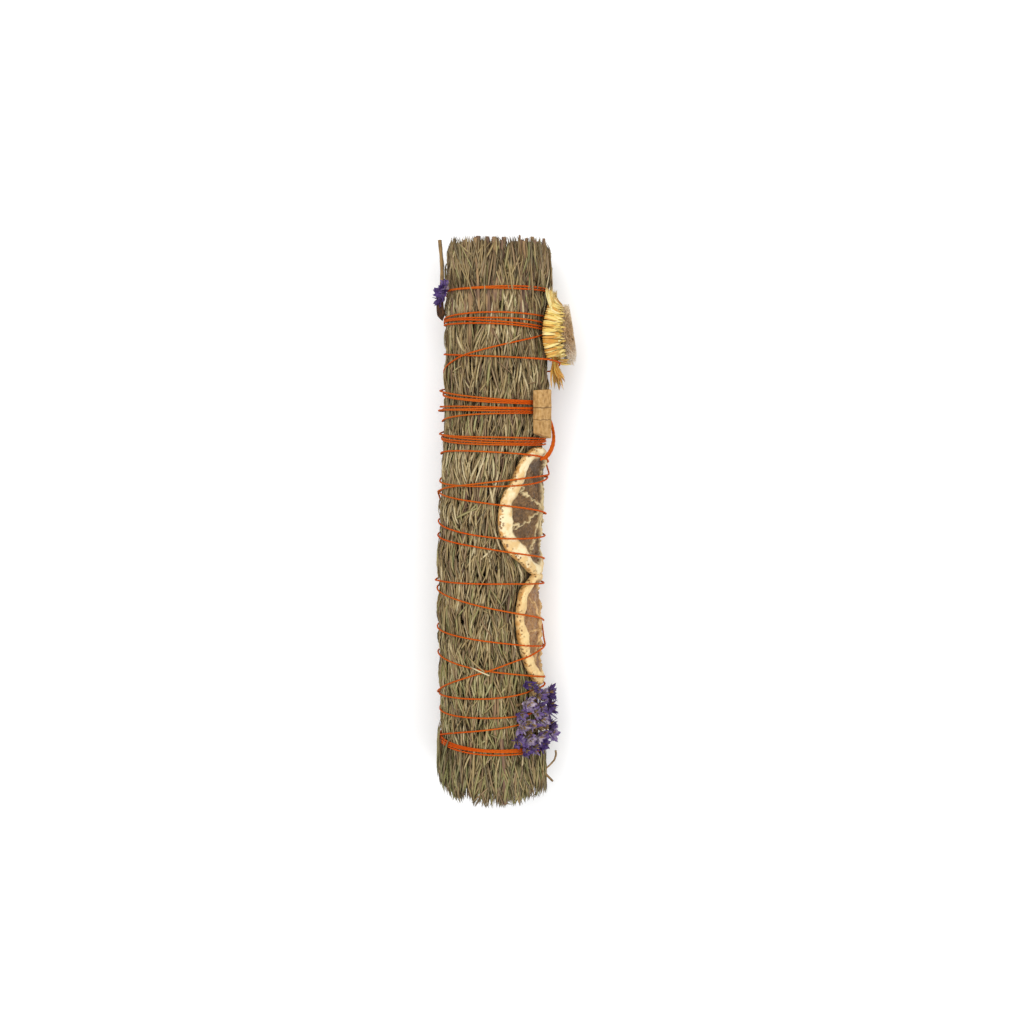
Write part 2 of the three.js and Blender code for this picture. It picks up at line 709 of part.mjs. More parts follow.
/** A small open papery funnel with a pointed rim, standing out from the bundle. */
function floret(angle, y, out, radius = FLORET_RADIUS) {
  const outline = [[0, 0], [0.8, 0], [radius, FLORET_HEIGHT], [0, FLORET_HEIGHT - FLORET_DENT]];
  const profile = outline.map(([across, up]) => new THREE.Vector2(across, up));
  const geometry = new THREE.LatheGeometry(profile, 8);
  geometry.rotateX(Math.PI / 2);
  const position = geometry.getAttribute("position");
  for (let k = 0; k < position.count; k += 1) {
    const step = Math.floor(k / profile.length);
    if (k % profile.length === 2 && step % 2 === 1) {
      position.setX(k, position.getX(k) * FLORET_NOTCH);
      position.setY(k, position.getY(k) * FLORET_NOTCH);
    }
  }
  return wrapped(geometry, { angle, y, inside: out });
}

/** A thin stem through places given as angle, distance out and place along. */
function stemThrough(places, radius, sides = 3) {
  const middles = places.map(([angle, out, y]) => around(angle, out, y));
  const rings = middles.map((at) => ({ at, width: radius }));
  const along = middles[middles.length - 1].clone().sub(middles[0]).normalize();
  const wide = Math.abs(along.y) > 0.7 ? X.clone() : Y.clone();
  const thick = new THREE.Vector3().crossVectors(along, wide).normalize();
  return spindle(rings, sides, wide, thick);
}

/** The sea lavender spray: a stem under the thread, two branches, and florets between the turns. */
function seaLavenderSpray() {
  const under = SPRAY_STEM_OUT;
  const stem = [
    [SPRAY_STEM_ANGLE, under, -67.5],
    [SPRAY_STEM_ANGLE, under, -80],
    [SPRAY_STEM_ANGLE, under, -93],
    [SPRAY_STEM_ANGLE + 2, under + 1, -96],
    [SPRAY_STEM_ANGLE + 4, under + 3, -99.5],
    [SPRAY_STEM_ANGLE + 5, under + 5.9, -102.5],
  ];
  const pieces = [stemThrough(stem, 0.6, 4)];
  for (const row of SPRAY_ROWS) {
    const last = row.angles[row.angles.length - 1];
    const branch = evenly(row.angles[0] - 1, last + 1, BRANCH_RINGS).map((angle) => {
      return { at: around(angle, under, row.y), width: 0.55, thick: around(angle, 1, 0) };
    });
    pieces.push(spindle(branch, 3, Y, Z));
    for (const angle of row.angles) {
      const out = angle > 90 ? SIDE_FLORET_OUT : FLORET_OUT;
      pieces.push(stemThrough([[angle, under - 0.3, row.y], [angle, out + 0.6, row.y]], 0.5));
      pieces.push(floret(angle, row.y, out));
    }
  }
  const low = SPRAY_ROWS[1];
  const from = low.angles[low.angles.length - 1] - 1;
  const { angle, out } = LOWEST_FLORET;
  const between = [(from + angle) / 2, (under + out) / 2 + 0.5, low.y];
  pieces.push(stemThrough([[from, under, low.y], between, [angle, out + 0.6, low.y]], 0.6));
  pieces.push(floret(angle, low.y, out));
  return restedOnFloor(joined(pieces));
}

/** The small sea lavender sprig on the left: its cut twig, its blooms, and one dark bract. */
function leftSprig() {
  const twig = [[-87, 21.2, 106.4], [-84, 20.6, 97], [-80, 20.9, 92], [-72, 22.8, 87.2]];
  const leaf = [
    { at: around(-73, 22.6, 87), width: 0.8, thickness: 0.5 },
    { at: around(-77, 22.2, 82.6), width: 1.7, thickness: 0.45 },
    { at: around(-83, 21.7, 78.8), width: 0, thickness: 0 },
  ];
  const outward = around(-81, 1, 0);
  const pieces = [
    stemThrough(twig, 0.75, 5),
    floret(-71, 86.8, 21.4, 3.4),
    floret(-64, 88.6, 21.4, 2.6),
    spindle(leaf, 4, around(9, 1, 0), outward),
  ];
  return joined(pieces);
}

/** The chip of wood: a flat split piece with a slanted lower end. */
function woodChip() {
  const half = CHIP.width / 2;
  const end = CHIP.length / 2;
  const outline = new THREE.Shape([
    new THREE.Vector2(-half, end - 0.4),
    new THREE.Vector2(-half, -end + 2),
    new THREE.Vector2(half, -end),
    new THREE.Vector2(half, end),
  ]);
  const geometry = new THREE.ExtrudeGeometry(outline, {
    depth: CHIP.thickness - 2 * CHIP.bevel,
    bevelThickness: CHIP.bevel,
    bevelSize: CHIP.bevel,
    bevelOffset: -CHIP.bevel,
    bevelSegments: 1,
  });
  geometry.translate(0, 0, CHIP.bevel);
  geometry.rotateY(rad(CHIP.angle));
  geometry.translate(...around(CHIP.angle, CHIP.out, CHIP.y));
  return geometry;
}

const bundle = new THREE.Group();
sprigCells().forEach((cell, index) => {
  const name = `rosemary_sprig_${String(index + 1).padStart(2, "0")}`;
  const colour = COLOURS.rosemary[index % COLOURS.rosemary.length];
  bundle.add(pieceOf(name, sprig(cell, index), colour));
});
bundle.add(pieceOf("binding_thread", solidFrom(threadPiece()), COLOURS.thread, 0.8));
bundle.add(pieceOf("citrus_slice_upper", solidFrom(citrusSlice(UPPER_SLICE)), COLOURS.citrus, 0.7));
bundle.add(pieceOf("citrus_slice_lower", solidFrom(citrusSlice(LOWER_SLICE)), COLOURS.citrus, 0.7));
bundle.add(pieceOf("strawflower_bracts", strawflowerBracts(), COLOURS.bracts, 0.6));
bundle.add(pieceOf("strawflower_disc", solidFrom(strawflowerDisc()), COLOURS.disc));
bundle.add(pieceOf("sea_lavender_spray", seaLavenderSpray(), COLOURS.seaLavender));
bundle.add(pieceOf("sea_lavender_sprig", leftSprig(), COLOURS.seaLavender));
bundle.add(pieceOf("wood_chip", solidFrom(woodChip()), COLOURS.chip, 0.8));

// The origin is under the middle of the bundle, on the surface it lies on
const box = new THREE.Box3().setFromObject(bundle);
const middle = box.getCenter(new THREE.Vector3());
bundle.position.set(-middle.x, -middle.y, -box.min.z);

export default bundle;
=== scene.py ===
"""A dried herb smudge stick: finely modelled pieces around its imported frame.

Every shape is worked out in the bundle's own millimetres: +Y along the bundle, +Z up, and angles
round it in degrees from the top (+Z), turning toward +X. Lay moves the shapes into the frame.
"""

import logging
import math
from collections.abc import Sequence
from dataclasses import dataclass, field
from enum import Enum

import bmesh
import bpy
import numpy as np
from mathutils import Matrix, Vector


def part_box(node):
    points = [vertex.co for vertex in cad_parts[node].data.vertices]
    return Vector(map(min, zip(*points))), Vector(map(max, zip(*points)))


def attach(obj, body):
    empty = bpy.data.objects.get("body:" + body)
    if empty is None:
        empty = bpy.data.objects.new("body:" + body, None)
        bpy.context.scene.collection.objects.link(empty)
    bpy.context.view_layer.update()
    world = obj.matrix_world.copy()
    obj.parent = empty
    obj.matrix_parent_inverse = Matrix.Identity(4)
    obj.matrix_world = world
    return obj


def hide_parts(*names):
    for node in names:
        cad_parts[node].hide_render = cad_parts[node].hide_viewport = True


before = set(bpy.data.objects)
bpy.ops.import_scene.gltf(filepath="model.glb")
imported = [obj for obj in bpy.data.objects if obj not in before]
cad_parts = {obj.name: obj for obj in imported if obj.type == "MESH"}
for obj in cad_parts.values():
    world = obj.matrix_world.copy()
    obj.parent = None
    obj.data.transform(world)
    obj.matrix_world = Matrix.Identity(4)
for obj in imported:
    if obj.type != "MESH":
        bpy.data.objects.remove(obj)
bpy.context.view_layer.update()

LOG = logging.getLogger("smudge_stick")
MM = 0.001
FLOOR = -21.0
Numbers = np.ndarray


def around(angle: Numbers | float, out: Numbers | float, y: Numbers | float) -> Numbers:
    """The points at angles round the bundle, distances out from its axis and places along it.

    Args:
        angle: degrees from the top, turning toward +X.
        out: millimetres from the axis.
        y: millimetres along the bundle.

    Returns:
        The points, with x, y and z on the last axis.
    """
    turned = np.radians(angle)
    x, along, z = np.broadcast_arrays(out * np.sin(turned), y, out * np.cos(turned))
    return np.stack([x, along, z], axis=-1).astype(float)


def turn_between(start: Numbers | float, end: Numbers | float) -> Numbers:
    """The difference between angles, from -180 to 180 degrees."""
    return (np.asarray(end) - start + 180.0) % 360.0 - 180.0


def smoothed(low: float, high: float, value: Numbers | float) -> Numbers:
    """A smooth rise from 0 at `low` to 1 at `high`."""
    share = np.clip((np.asarray(value) - low) / (high - low), 0.0, 1.0)
    return share * share * (3.0 - 2.0 * share)


def unit(vectors: Numbers) -> Numbers:
    """The same directions with length 1."""
    return vectors / np.maximum(np.linalg.norm(vectors, axis=-1, keepdims=True), 1e-9)


def ripple(points: Numbers, size: float, seed: int, waves: int = 9) -> Numbers:
    """A smooth uneven field, made of a few crossing waves.

    Args:
        points: the places, with their coordinates on the last axis.
        size: the usual distance between two crests, in the unit of the points.
        seed: chooses the waves.
        waves: how many waves are added up.

    Returns:
        One number a place, mostly between -1 and 1.
    """
    chance = np.random.default_rng(seed)
    total = np.zeros(points.shape[:-1])
    for _ in range(waves):
        way = unit(chance.normal(size=points.shape[-1]))
        pace = 2.0 * math.pi / (size * chance.uniform(0.6, 1.8))
        total += np.sin(points @ way * pace + chance.uniform(0.0, 2.0 * math.pi))
    return total / math.sqrt(waves)


def spun(outline: Sequence[tuple[float, float]], steps: int) -> bmesh.types.BMesh:
    """A closed round shape, spun about Z from its outline and merged at its seam.

    Args:
        outline: pairs of radius and height, with both ends on the axis.
        steps: how many corners it has all round.

    Returns:
        The shape.
    """
    shape = bmesh.new()
    verts = [shape.verts.new((radius, 0.0, height)) for radius, height in outline]
    edges = [shape.edges.new(pair) for pair in zip(verts[:-1], verts[1:], strict=True)]
    bmesh.ops.spin(
        shape,
        geom=verts + edges,
        cent=(0.0, 0.0, 0.0),
        axis=(0.0, 0.0, 1.0),
        angle=2.0 * math.pi,
        steps=steps,
        use_merge=True,
    )
    bmesh.ops.remove_doubles(shape, verts=shape.verts, dist=1e-5)
    bmesh.ops.recalc_face_normals(shape, faces=shape.faces)
    return shape


def eased_route(corners: Numbers, share: Numbers, rounds: int, held: int = 1) -> Numbers:
    """A soft path through corners.

    Args:
        corners: the places that it goes by.
        share: how far along it each of its points is, from 0 to 1.
        rounds: how often its points are drawn toward their neighbours.
        held: how many points at each end stay where they are.

    Returns:
        The path's points.
    """
    where = np.linspace(0.0, 1.0, len(corners))
    path = np.stack([np.interp(share, where, corners[:, n]) for n in range(3)], axis=1)
    first, last = held, len(path) - held
    for _ in range(rounds):
        drawn = path[first - 1 : last - 1] + 2.0 * path[first:last] + path[first + 1 : last + 1]
        path[first:last] = drawn / 4.0
    return path


@dataclass(frozen=True)
class Lay:
    """Where the bundle's axis lies in the frame, and how it bows sideways.

    The chip of wood is a flat-sided solid whose middle is known, so it gives the place. The bow is
    a steady part with soft humps added, each given by its place, its height and its run.
    """

    chip_angle: float = 52.0
    chip_out: float = 22.75
    chip_y: float = 41.0
    bow_base: float = -1.0
    bow_humps: tuple[tuple[float, float, float], ...] = ((-30.0, -1.4, 45.0), (75.0, 2.0, 50.0))

    def bow(self, y: Numbers | float) -> Numbers:
        """How far toward +X the bundle's middle line lies at places along it."""
        humps = [h * np.exp(-(((y - at) / run) ** 2)) for at, h, run in self.bow_humps]
        return self.bow_base + sum(humps)

    def origin(self) -> Numbers:
        """The frame's place of the axis at y = 0 before it bows.

        Returns:
            The place in millimetres.
        """
        low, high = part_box("wood_chip")
        middle = (np.array(low) + np.array(high)) / (2.0 * MM)
        straight = middle - around(self.chip_angle, self.chip_out, self.chip_y)
        return straight - np.array([self.bow(self.chip_y), 0.0, 0.0])

    def straight(self, points: Numbers) -> Numbers:
        """Places beside the bundle, in its millimetres, as metres in the frame."""
        return (points + self.origin()) * MM

    def placed(self, points: Numbers) -> Numbers:
        """Places in the straight bundle, bowed with it and moved into the frame.

        Args:
            points: the places in millimetres.

        Returns:
            The places in metres.
        """
        bowed = points.copy()
        bowed[..., 0] += self.bow(points[..., 1])
        return self.straight(bowed)


LAY = Lay()


@dataclass(frozen=True)
class Bend:
    """Bends flat shapes, made round their own middle with +Z as the outside, onto the bundle.

    Attributes:
        angle: where the middle of the flat shape goes, in degrees round the bundle.
        y: where it goes along the bundle.
        inside: the distance of the flat shape's z = 0 from the axis.
        straight_from: the angle past which the shape goes on straight.
    """

    angle: float
    y: float
    inside: float
    straight_from: float = 360.0

    def bent(self, points: Numbers) -> Numbers:
        """The places of flat points once they are bent onto the bundle.

        Args:
            points: the flat points, with x, y and z on the last axis.

        Returns:
            The bent points, in the same layout.
        """
        out = self.inside + points[..., 2]
        angle = self.angle + np.degrees(points[..., 0] / self.inside)
        held = np.minimum(angle, self.straight_from)
        place = around(held, out, self.y + points[..., 1])
        past = np.radians(angle - held) * self.inside
        return place + around(held + 90.0, 1.0, 0.0) * past[..., None]


@dataclass(frozen=True)
class Rod:
    """A closed rod of rings between two points, copied and swept along many paths at once.

    Attributes:
        sides: how many corners a ring has.
        rings: how many rings there are, with the two that close to a point.
    """

    sides: int
    rings: int

    def single(self) -> bmesh.types.BMesh:
        """One rod along Z, ring k at z = k, rolled up from a flat grid and merged at its seam.

        Returns:
            The rod.
        """
        shape = bmesh.new()
        bmesh.ops.create_grid(shape, x_segments=self.sides, y_segments=self.rings - 1, size=1.0)
        for vert in shape.verts:
            turn = math.pi * (vert.co.x + 1.0)
            ring = round((vert.co.y + 1.0) / 2.0 * (self.rings - 1))
            closed = ring in (0, self.rings - 1)
            radius = 0.0 if closed else 1.0
            vert.co = (radius * math.cos(turn), radius * math.sin(turn), ring)
        bmesh.ops.remove_doubles(shape, verts=shape.verts, dist=1e-4)
        bmesh.ops.recalc_face_normals(shape, faces=shape.faces)
        return shape

    def swept(self, centres: Numbers, wide: Numbers, thick: Numbers) -> "Batch":
        """Rods along many paths.

        Args:
            centres: the middle of each ring, as rods x rings x 3.
            wide: each ring's half width as a vector, in the same layout.
            thick: each ring's half thickness as a vector, in the same layout.

        Returns:
            The rods as one batch, with how far round and along each vertex is.
        """
        shape = self.single()
        unit_places = np.array([vert.co for vert in shape.verts])
        multiplied(shape, len(centres))
        ring = unit_places[:, 2].round().astype(int)
        cos, sin = unit_places[:, 0, None], unit_places[:, 1, None]
        places = centres[:, ring] + wide[:, ring] * cos + thick[:, ring] * sin
        batch = Batch(shape, places)
        batch.mark("along", np.broadcast_to(ring / (self.rings - 1), places.shape[:2]))
        batch.mark("across", np.broadcast_to(unit_places[:, 0], places.shape[:2]))
        return batch


def multiplied(shape: bmesh.types.BMesh, count: int) -> None:
    """Fills a bmesh with copies of what it holds, each with its vertices in the same order.

    Args:
        shape: the bmesh with the one shape to copy.
        count: how many shapes it holds in the end.
    """
    tidy = bpy.data.meshes.new("tidy")
    shape.to_mesh(tidy)
    shape.clear()
    shape.from_mesh(tidy)
    bpy.data.meshes.remove(tidy)
    verts, edges, faces = len(shape.verts), len(shape.edges), len(shape.faces)
    made = 1
    while made < count:
        take = min(made, count - made)
        shape.verts.ensure_lookup_table()
        shape.edges.ensure_lookup_table()
        shape.faces.ensure_lookup_table()
        chosen = shape.verts[: take * verts] + shape.edges[: take * edges]
        bmesh.ops.duplicate(shape, geom=chosen + shape.faces[: take * faces])
        made += take


@dataclass
class Batch:
    """A bmesh whose vertices get their places and marks from arrays.

    Attributes:
        shape: the bmesh.
        places: the vertices' places in the bundle's millimetres, as copies x vertices x 3.
        marks: named numbers for each vertex, which materials read as attributes.
        finish: the place of the batch's material in its piece's list.
    """

    shape: bmesh.types.BMesh
    places: Numbers
    marks: dict[str, Numbers] = field(default_factory=dict)
    finish: int = 0

    def mark(self, name: str, values: Numbers) -> "Batch":
        """Gives every vertex, or every copy, a number under a name.

        Args:
            name: the name that materials read.
            values: the numbers, one a copy or one a vertex.

        Returns:
            The batch itself.
        """
        values = np.asarray(values, dtype=float)
        if values.ndim == 1:
            values = np.broadcast_to(values[:, None], self.places.shape[:2])
        self.marks[name] = values
        return self

    def dressed(self, finish: int) -> "Batch":
        """Chooses the material by its place in the piece's list."""
        self.finish = finish
        return self

    def mesh(self, name: str) -> bpy.types.Mesh:
        """The batch as a mesh in the frame's metres.

        Args:
            name: the mesh's name.

        Returns:
            The mesh with its marks.
        """
        made = bpy.data.meshes.new(name)
        self.shape.to_mesh(made)
        self.shape.free()
        flat = LAY.placed(self.places.reshape(-1, 3)).astype(np.float32)
        made.vertices.foreach_set("co", flat.ravel())
        for label, values in self.marks.items():
            mark = made.attributes.new(label, "FLOAT", "POINT")
            mark.data.foreach_set("value", values.astype(np.float32).ravel())
        made.polygons.foreach_set("material_index", np.full(len(made.polygons), self.finish))
        made.polygons.foreach_set("use_smooth", np.full(len(made.polygons), True))
        made.update()
        return made


@dataclass(frozen=True)
class Part:
    """What a finished piece is called and what it replaces; its slot name is not used."""

    name: str
    nodes: tuple[str, ...]
    slot: str


def assembled(part: Part, batches: Sequence[Batch], finishes: Sequence[bpy.types.Material]) -> None:
    """Joins batches into one piece that rides on the bundle.

    Args:
        part: the piece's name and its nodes.
        batches: the meshes that it is made of.
        finishes: its materials.
    """
    whole = bmesh.new()
    for batch in batches:
        mesh = batch.mesh(part.name)
        whole.from_mesh(mesh)
        bpy.data.meshes.remove(mesh)
    joined = bpy.data.meshes.new(part.name)
    whole.to_mesh(joined)
    whole.free()
    for finish in finishes:
        joined.materials.append(finish)
    piece = bpy.data.objects.new(part.name, joined)
    bpy.context.scene.collection.objects.link(piece)
    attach(piece, "root")
    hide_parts(*part.nodes)
    joined.calc_loop_triangles()
    LOG.info("%s: %d triangles", part.name, len(joined.loop_triangles))


def colour(code: str) -> tuple[float, float, float, float]:
    """A colour of the screen as the linear colour that a shader takes.

    Args:
        code: red, green and blue as six digits of base 16.

    Returns:
        Linear red, green, blue and an alpha of 1.
    """
    parts = [int(code[k : k + 2], 16) / 255.0 for k in (0, 2, 4)]
    linear = [c / 12.92 if c <= 0.04045 else ((c + 0.055) / 1.055) ** 2.4 for c in parts]
    return (*linear, 1.0)


class Recipe:
    """A material's node tree, with short calls that add nodes and join them."""

    def __init__(self, name: str, roughness: float, specular: float = 0.3) -> None:
        """Starts a material with the values that are the same all over it.

        Args:
            name: the material's name.
            roughness: how rough it is, from 0 to 1.
            specular: the strength of its reflections.
        """
        self.material = bpy.data.materials.new(name)
        self.material.use_nodes = True
        self.nodes = self.material.node_tree.nodes
        self.links = self.material.node_tree.links
        self.shader = self.nodes["Principled BSDF"]
        self.shader.inputs["Roughness"].default_value = roughness
        self.shader.inputs["Specular IOR Level"].default_value = specular

    def give(self, node: bpy.types.Node, socket: str | int, value: object) -> None:
        """Joins a socket to another, or sets its value.

        Args:
            node: the node that gets the value.
            socket: the name or number of its input.
            value: another node's output, or a plain value.
        """
        if isinstance(value, bpy.types.NodeSocket):
            self.links.new(value, node.inputs[socket])
        else:
            node.inputs[socket].default_value = value

    def place(self, stretch: tuple[float, float, float] = (1.0, 1.0, 1.0)) -> bpy.types.NodeSocket:
        """The object's coordinates.

        Args:
            stretch: what each coordinate is multiplied by.

        Returns:
            The coordinates in metres.
        """
        source = self.nodes.new("ShaderNodeTexCoord").outputs["Object"]
        mapping = self.nodes.new("ShaderNodeMapping")
        self.give(mapping, "Vector", source)
        self.give(mapping, "Scale", stretch)
        return mapping.outputs["Vector"]

    def mark(self, name: str) -> bpy.types.NodeSocket:
        """A number that the mesh carries.

        Args:
            name: the mark's name.

        Returns:
            The number.
        """
        node = self.nodes.new("ShaderNodeAttribute")
        node.attribute_name = name
        return node.outputs["Fac"]

    def noise(
        self,
        size: float,
        detail: float = 3.0,
        stretch: tuple[float, float, float] = (1.0, 1.0, 1.0),
        distortion: float = 0.0,
    ) -> bpy.types.NodeSocket:
        """Soft noise.

        Args:
            size: the lumps' size in millimetres.
            detail: how many finer layers it has.
            stretch: what each coordinate is multiplied by.
            distortion: how much it swirls.

        Returns:
            The noise, from 0 to 1.
        """
        node = self.nodes.new("ShaderNodeTexNoise")
        self.give(node, "Vector", self.place(stretch))
        self.give(node, "Scale", 1.0 / (size * MM))
        self.give(node, "Detail", detail)
        self.give(node, "Distortion", distortion)
        return node.outputs["Fac"]

    def cells(self, size: float) -> bpy.types.NodeSocket:
        """Distances from the middles of scattered cells.

        Args:
            size: the cells' size in millimetres.

        Returns:
            The distance, as a share of that size.
        """
        node = self.nodes.new("ShaderNodeTexVoronoi")
        self.give(node, "Vector", self.place())
        self.give(node, "Scale", 1.0 / (size * MM))
        return node.outputs["Distance"]

    def sum(self, operation: str, first: object, second: object = 0.0) -> bpy.types.NodeSocket:
        """The outcome of one operation on numbers.

        Args:
            operation: the operation's name.
            first: the first number.
            second: the second number, where the operation takes two.

        Returns:
            The outcome.
        """
        node = self.nodes.new("ShaderNodeMath")
        node.operation = operation
        self.give(node, 0, first)
        self.give(node, 1, second)
        return node.outputs[0]

    def times(self, first: object, second: object) -> bpy.types.NodeSocket:
        """The product of two numbers."""
        return self.sum("MULTIPLY", first, second)

    def plus(self, first: object, second: object) -> bpy.types.NodeSocket:
        """The sum of two numbers."""
        return self.sum("ADD", first, second)

    def about(self, noise: object, strength: float) -> bpy.types.NodeSocket:
        """A number from 0 to 1 as an unevenness about 0."""
        return self.times(self.sum("SUBTRACT", noise, 0.5), strength)

    def eased(self, value: object, low: float, high: float) -> bpy.types.NodeSocket:
        """A number as its share of the way between two others, kept within 0 and 1.

        Args:
            value: the number.
            low: where the share is 0.
            high: where the share is 1.

        Returns:
            The share.
        """
        node = self.nodes.new("ShaderNodeMapRange")
        node.interpolation_type = "SMOOTHSTEP"
        self.give(node, 0, value)
        self.give(node, 1, low)
        self.give(node, 2, high)
        return node.outputs[0]

    def ramp(self, value: object, *stops: tuple[float, str]) -> bpy.types.NodeSocket:
        """A colour chosen by a number.

        Args:
            value: the number, from 0 to 1.
            *stops: pairs of place and colour.

        Returns:
            The colour.
        """
        node = self.nodes.new("ShaderNodeValToRGB")
        self.give(node, "Fac", value)
        elements = node.color_ramp.elements
        while len(elements) < len(stops):
            elements.new(1.0)
        for element, (where, code) in zip(elements, stops, strict=True):
            element.position = where
            element.color = colour(code)
        return node.outputs["Color"]

    def mixed(self, share: object, first: object, second: object) -> bpy.types.NodeSocket:
        """Two colours mixed.

        Args:
            share: how much of the second is in the mix, from 0 to 1.
            first: the first colour.
            second: the second colour.

        Returns:
            The mixed colour.
        """
        node = self.nodes.new("ShaderNodeMix")
        node.data_type = "RGBA"
        self.give(node, 0, share)
        self.give(node, 6, colour(first) if isinstance(first, str) else first)
        self.give(node, 7, colour(second) if isinstance(second, str) else second)
        return node.outputs[2]

    def painted(self, paint: object) -> "Recipe":
        """Gives the shader its colour."""
        self.give(self.shader, "Base Color", colour(paint) if isinstance(paint, str) else paint)
        return self

    def raised(self, height: object, depth: float, strength: float = 1.0) -> "Recipe":
        """Adds relief over any that is there already.

        Args:
            height: the number that it follows.
            depth: how deep it is, in millimetres.
            strength: how much of it shows, from 0 to 1.

        Returns:
            The recipe itself.
        """
        node = self.nodes.new("ShaderNodeBump")
        self.give(node, "Height", height)
        self.give(node, "Distance", depth * MM)
        self.give(node, "Strength", strength)
        before = self.shader.inputs["Normal"]
        if before.is_linked:
            self.give(node, "Normal", before.links[0].from_socket)
        self.give(self.shader, "Normal", node.outputs["Normal"])
        return self

    def shone(self, share: object, low: float, high: float) -> "Recipe":
        """Lets the roughness follow a number.

        Args:
            share: the number, from 0 to 1.
            low: the roughness at 0.
            high: the roughness at 1.

        Returns:
            The recipe itself.
        """
        node = self.nodes.new("ShaderNodeMapRange")
        self.give(node, 0, share)
        self.give(node, 3, low)
        self.give(node, 4, high)
        self.give(self.shader, "Roughness", node.outputs[0])
        return self


Outline = tuple[tuple[float, float], ...]


@dataclass(frozen=True)
class SliceSize:
    """A dried citrus slice: its middle on the bundle, its sizes in millimetres and its outlines.

    Attributes:
        angle: where its middle is round the bundle, in degrees.
        y: where its middle is along the bundle.
        across: its half width round the bundle, for an outline of 1.
        along: its half length along the bundle.
        edge: how far out its edge is, as pairs of direction in degrees and share.
        pulp: how far out its pulp ends, the same way.
        inside: the distance of its underside from the axis.
        thickness: how thick it is.
    """

    angle: float
    y: float
    across: float
    along: float
    edge: Outline
    pulp: Outline
    inside: float = 18.3
    thickness: float = 2.6

    @staticmethod
    def follow(outline: Outline, turn: Numbers) -> Numbers:
        """An outline's share in some directions, in radians from +Y toward +X."""
        where, share = np.array(outline).T
        return np.interp(np.degrees(turn), where, share, period=360.0)

    def share(self, angle: Numbers, y: Numbers) -> Numbers:
        """How far out in the slice places on the bundle are.

        Args:
            angle: their degrees round the bundle.
            y: their places along it.

        Returns:
            0 at the slice's middle and 1 at its edge.
        """
        middle_out = self.inside + self.thickness / 2.0
        across = np.radians(turn_between(self.angle, angle)) * middle_out / self.across
        along = (y - self.y) / self.along
        return np.hypot(across, along) / self.follow(self.edge, np.arctan2(across, along))


UPPER_SLICE = SliceSize(
    angle=74.0,
    y=4.4,
    across=22.6,
    along=24.3,
    edge=(
        (-160.0, 1.02), (-147.0, 0.96), (-130.0, 1.0), (-112.0, 1.01), (-94.0, 0.97), (-78.0, 0.965),
        (-61.0, 0.93), (-48.0, 0.965), (-34.0, 1.03), (-20.0, 1.04), (-8.0, 1.0), (6.0, 0.92),
        (20.0, 0.87), (40.0, 0.9), (70.0, 0.98), (110.0, 1.0), (150.0, 0.97), (178.0, 1.06),
    ),
    pulp=(
        (-160.0, 0.82), (-141.0, 0.72), (-123.0, 0.77), (-112.0, 0.8), (-100.0, 0.73), (-87.0, 0.77),
        (-70.0, 0.78), (-58.0, 0.72), (-45.0, 0.76), (-32.0, 0.85), (-20.0, 0.9), (-8.0, 0.86),
        (6.0, 0.79), (20.0, 0.76), (40.0, 0.78), (70.0, 0.82), (110.0, 0.84), (150.0, 0.8),
        (178.0, 0.88),
    ),
)
LOWER_SLICE = SliceSize(
    angle=83.0,
    y=-42.3,
    across=19.6,
    along=21.5,
    edge=(
        (-159.0, 0.99), (-142.0, 0.89), (-118.0, 0.82), (-102.0, 0.825), (-82.0, 0.855),
        (-66.0, 0.948), (-56.0, 1.0), (-44.0, 1.1), (-20.0, 1.09), (0.0, 1.0), (40.0, 1.0),
        (90.0, 1.0), (140.0, 1.0), (178.0, 1.04),
    ),
    pulp=(
        (-159.0, 0.76), (-142.0, 0.66), (-132.0, 0.61), (-118.0, 0.64), (-104.0, 0.6), (-92.0, 0.57),
        (-76.0, 0.69), (-63.0, 0.79), (-45.0, 0.88), (-30.0, 0.96), (-17.0, 0.98), (0.0, 0.88),
        (40.0, 0.84), (90.0, 0.84), (140.0, 0.82), (178.0, 0.85),
    ),
)
SLICES = (UPPER_SLICE, LOWER_SLICE)

FLOWER_BEND = Bend(angle=89.0, y=71.0, inside=22.0, straight_from=100.0)


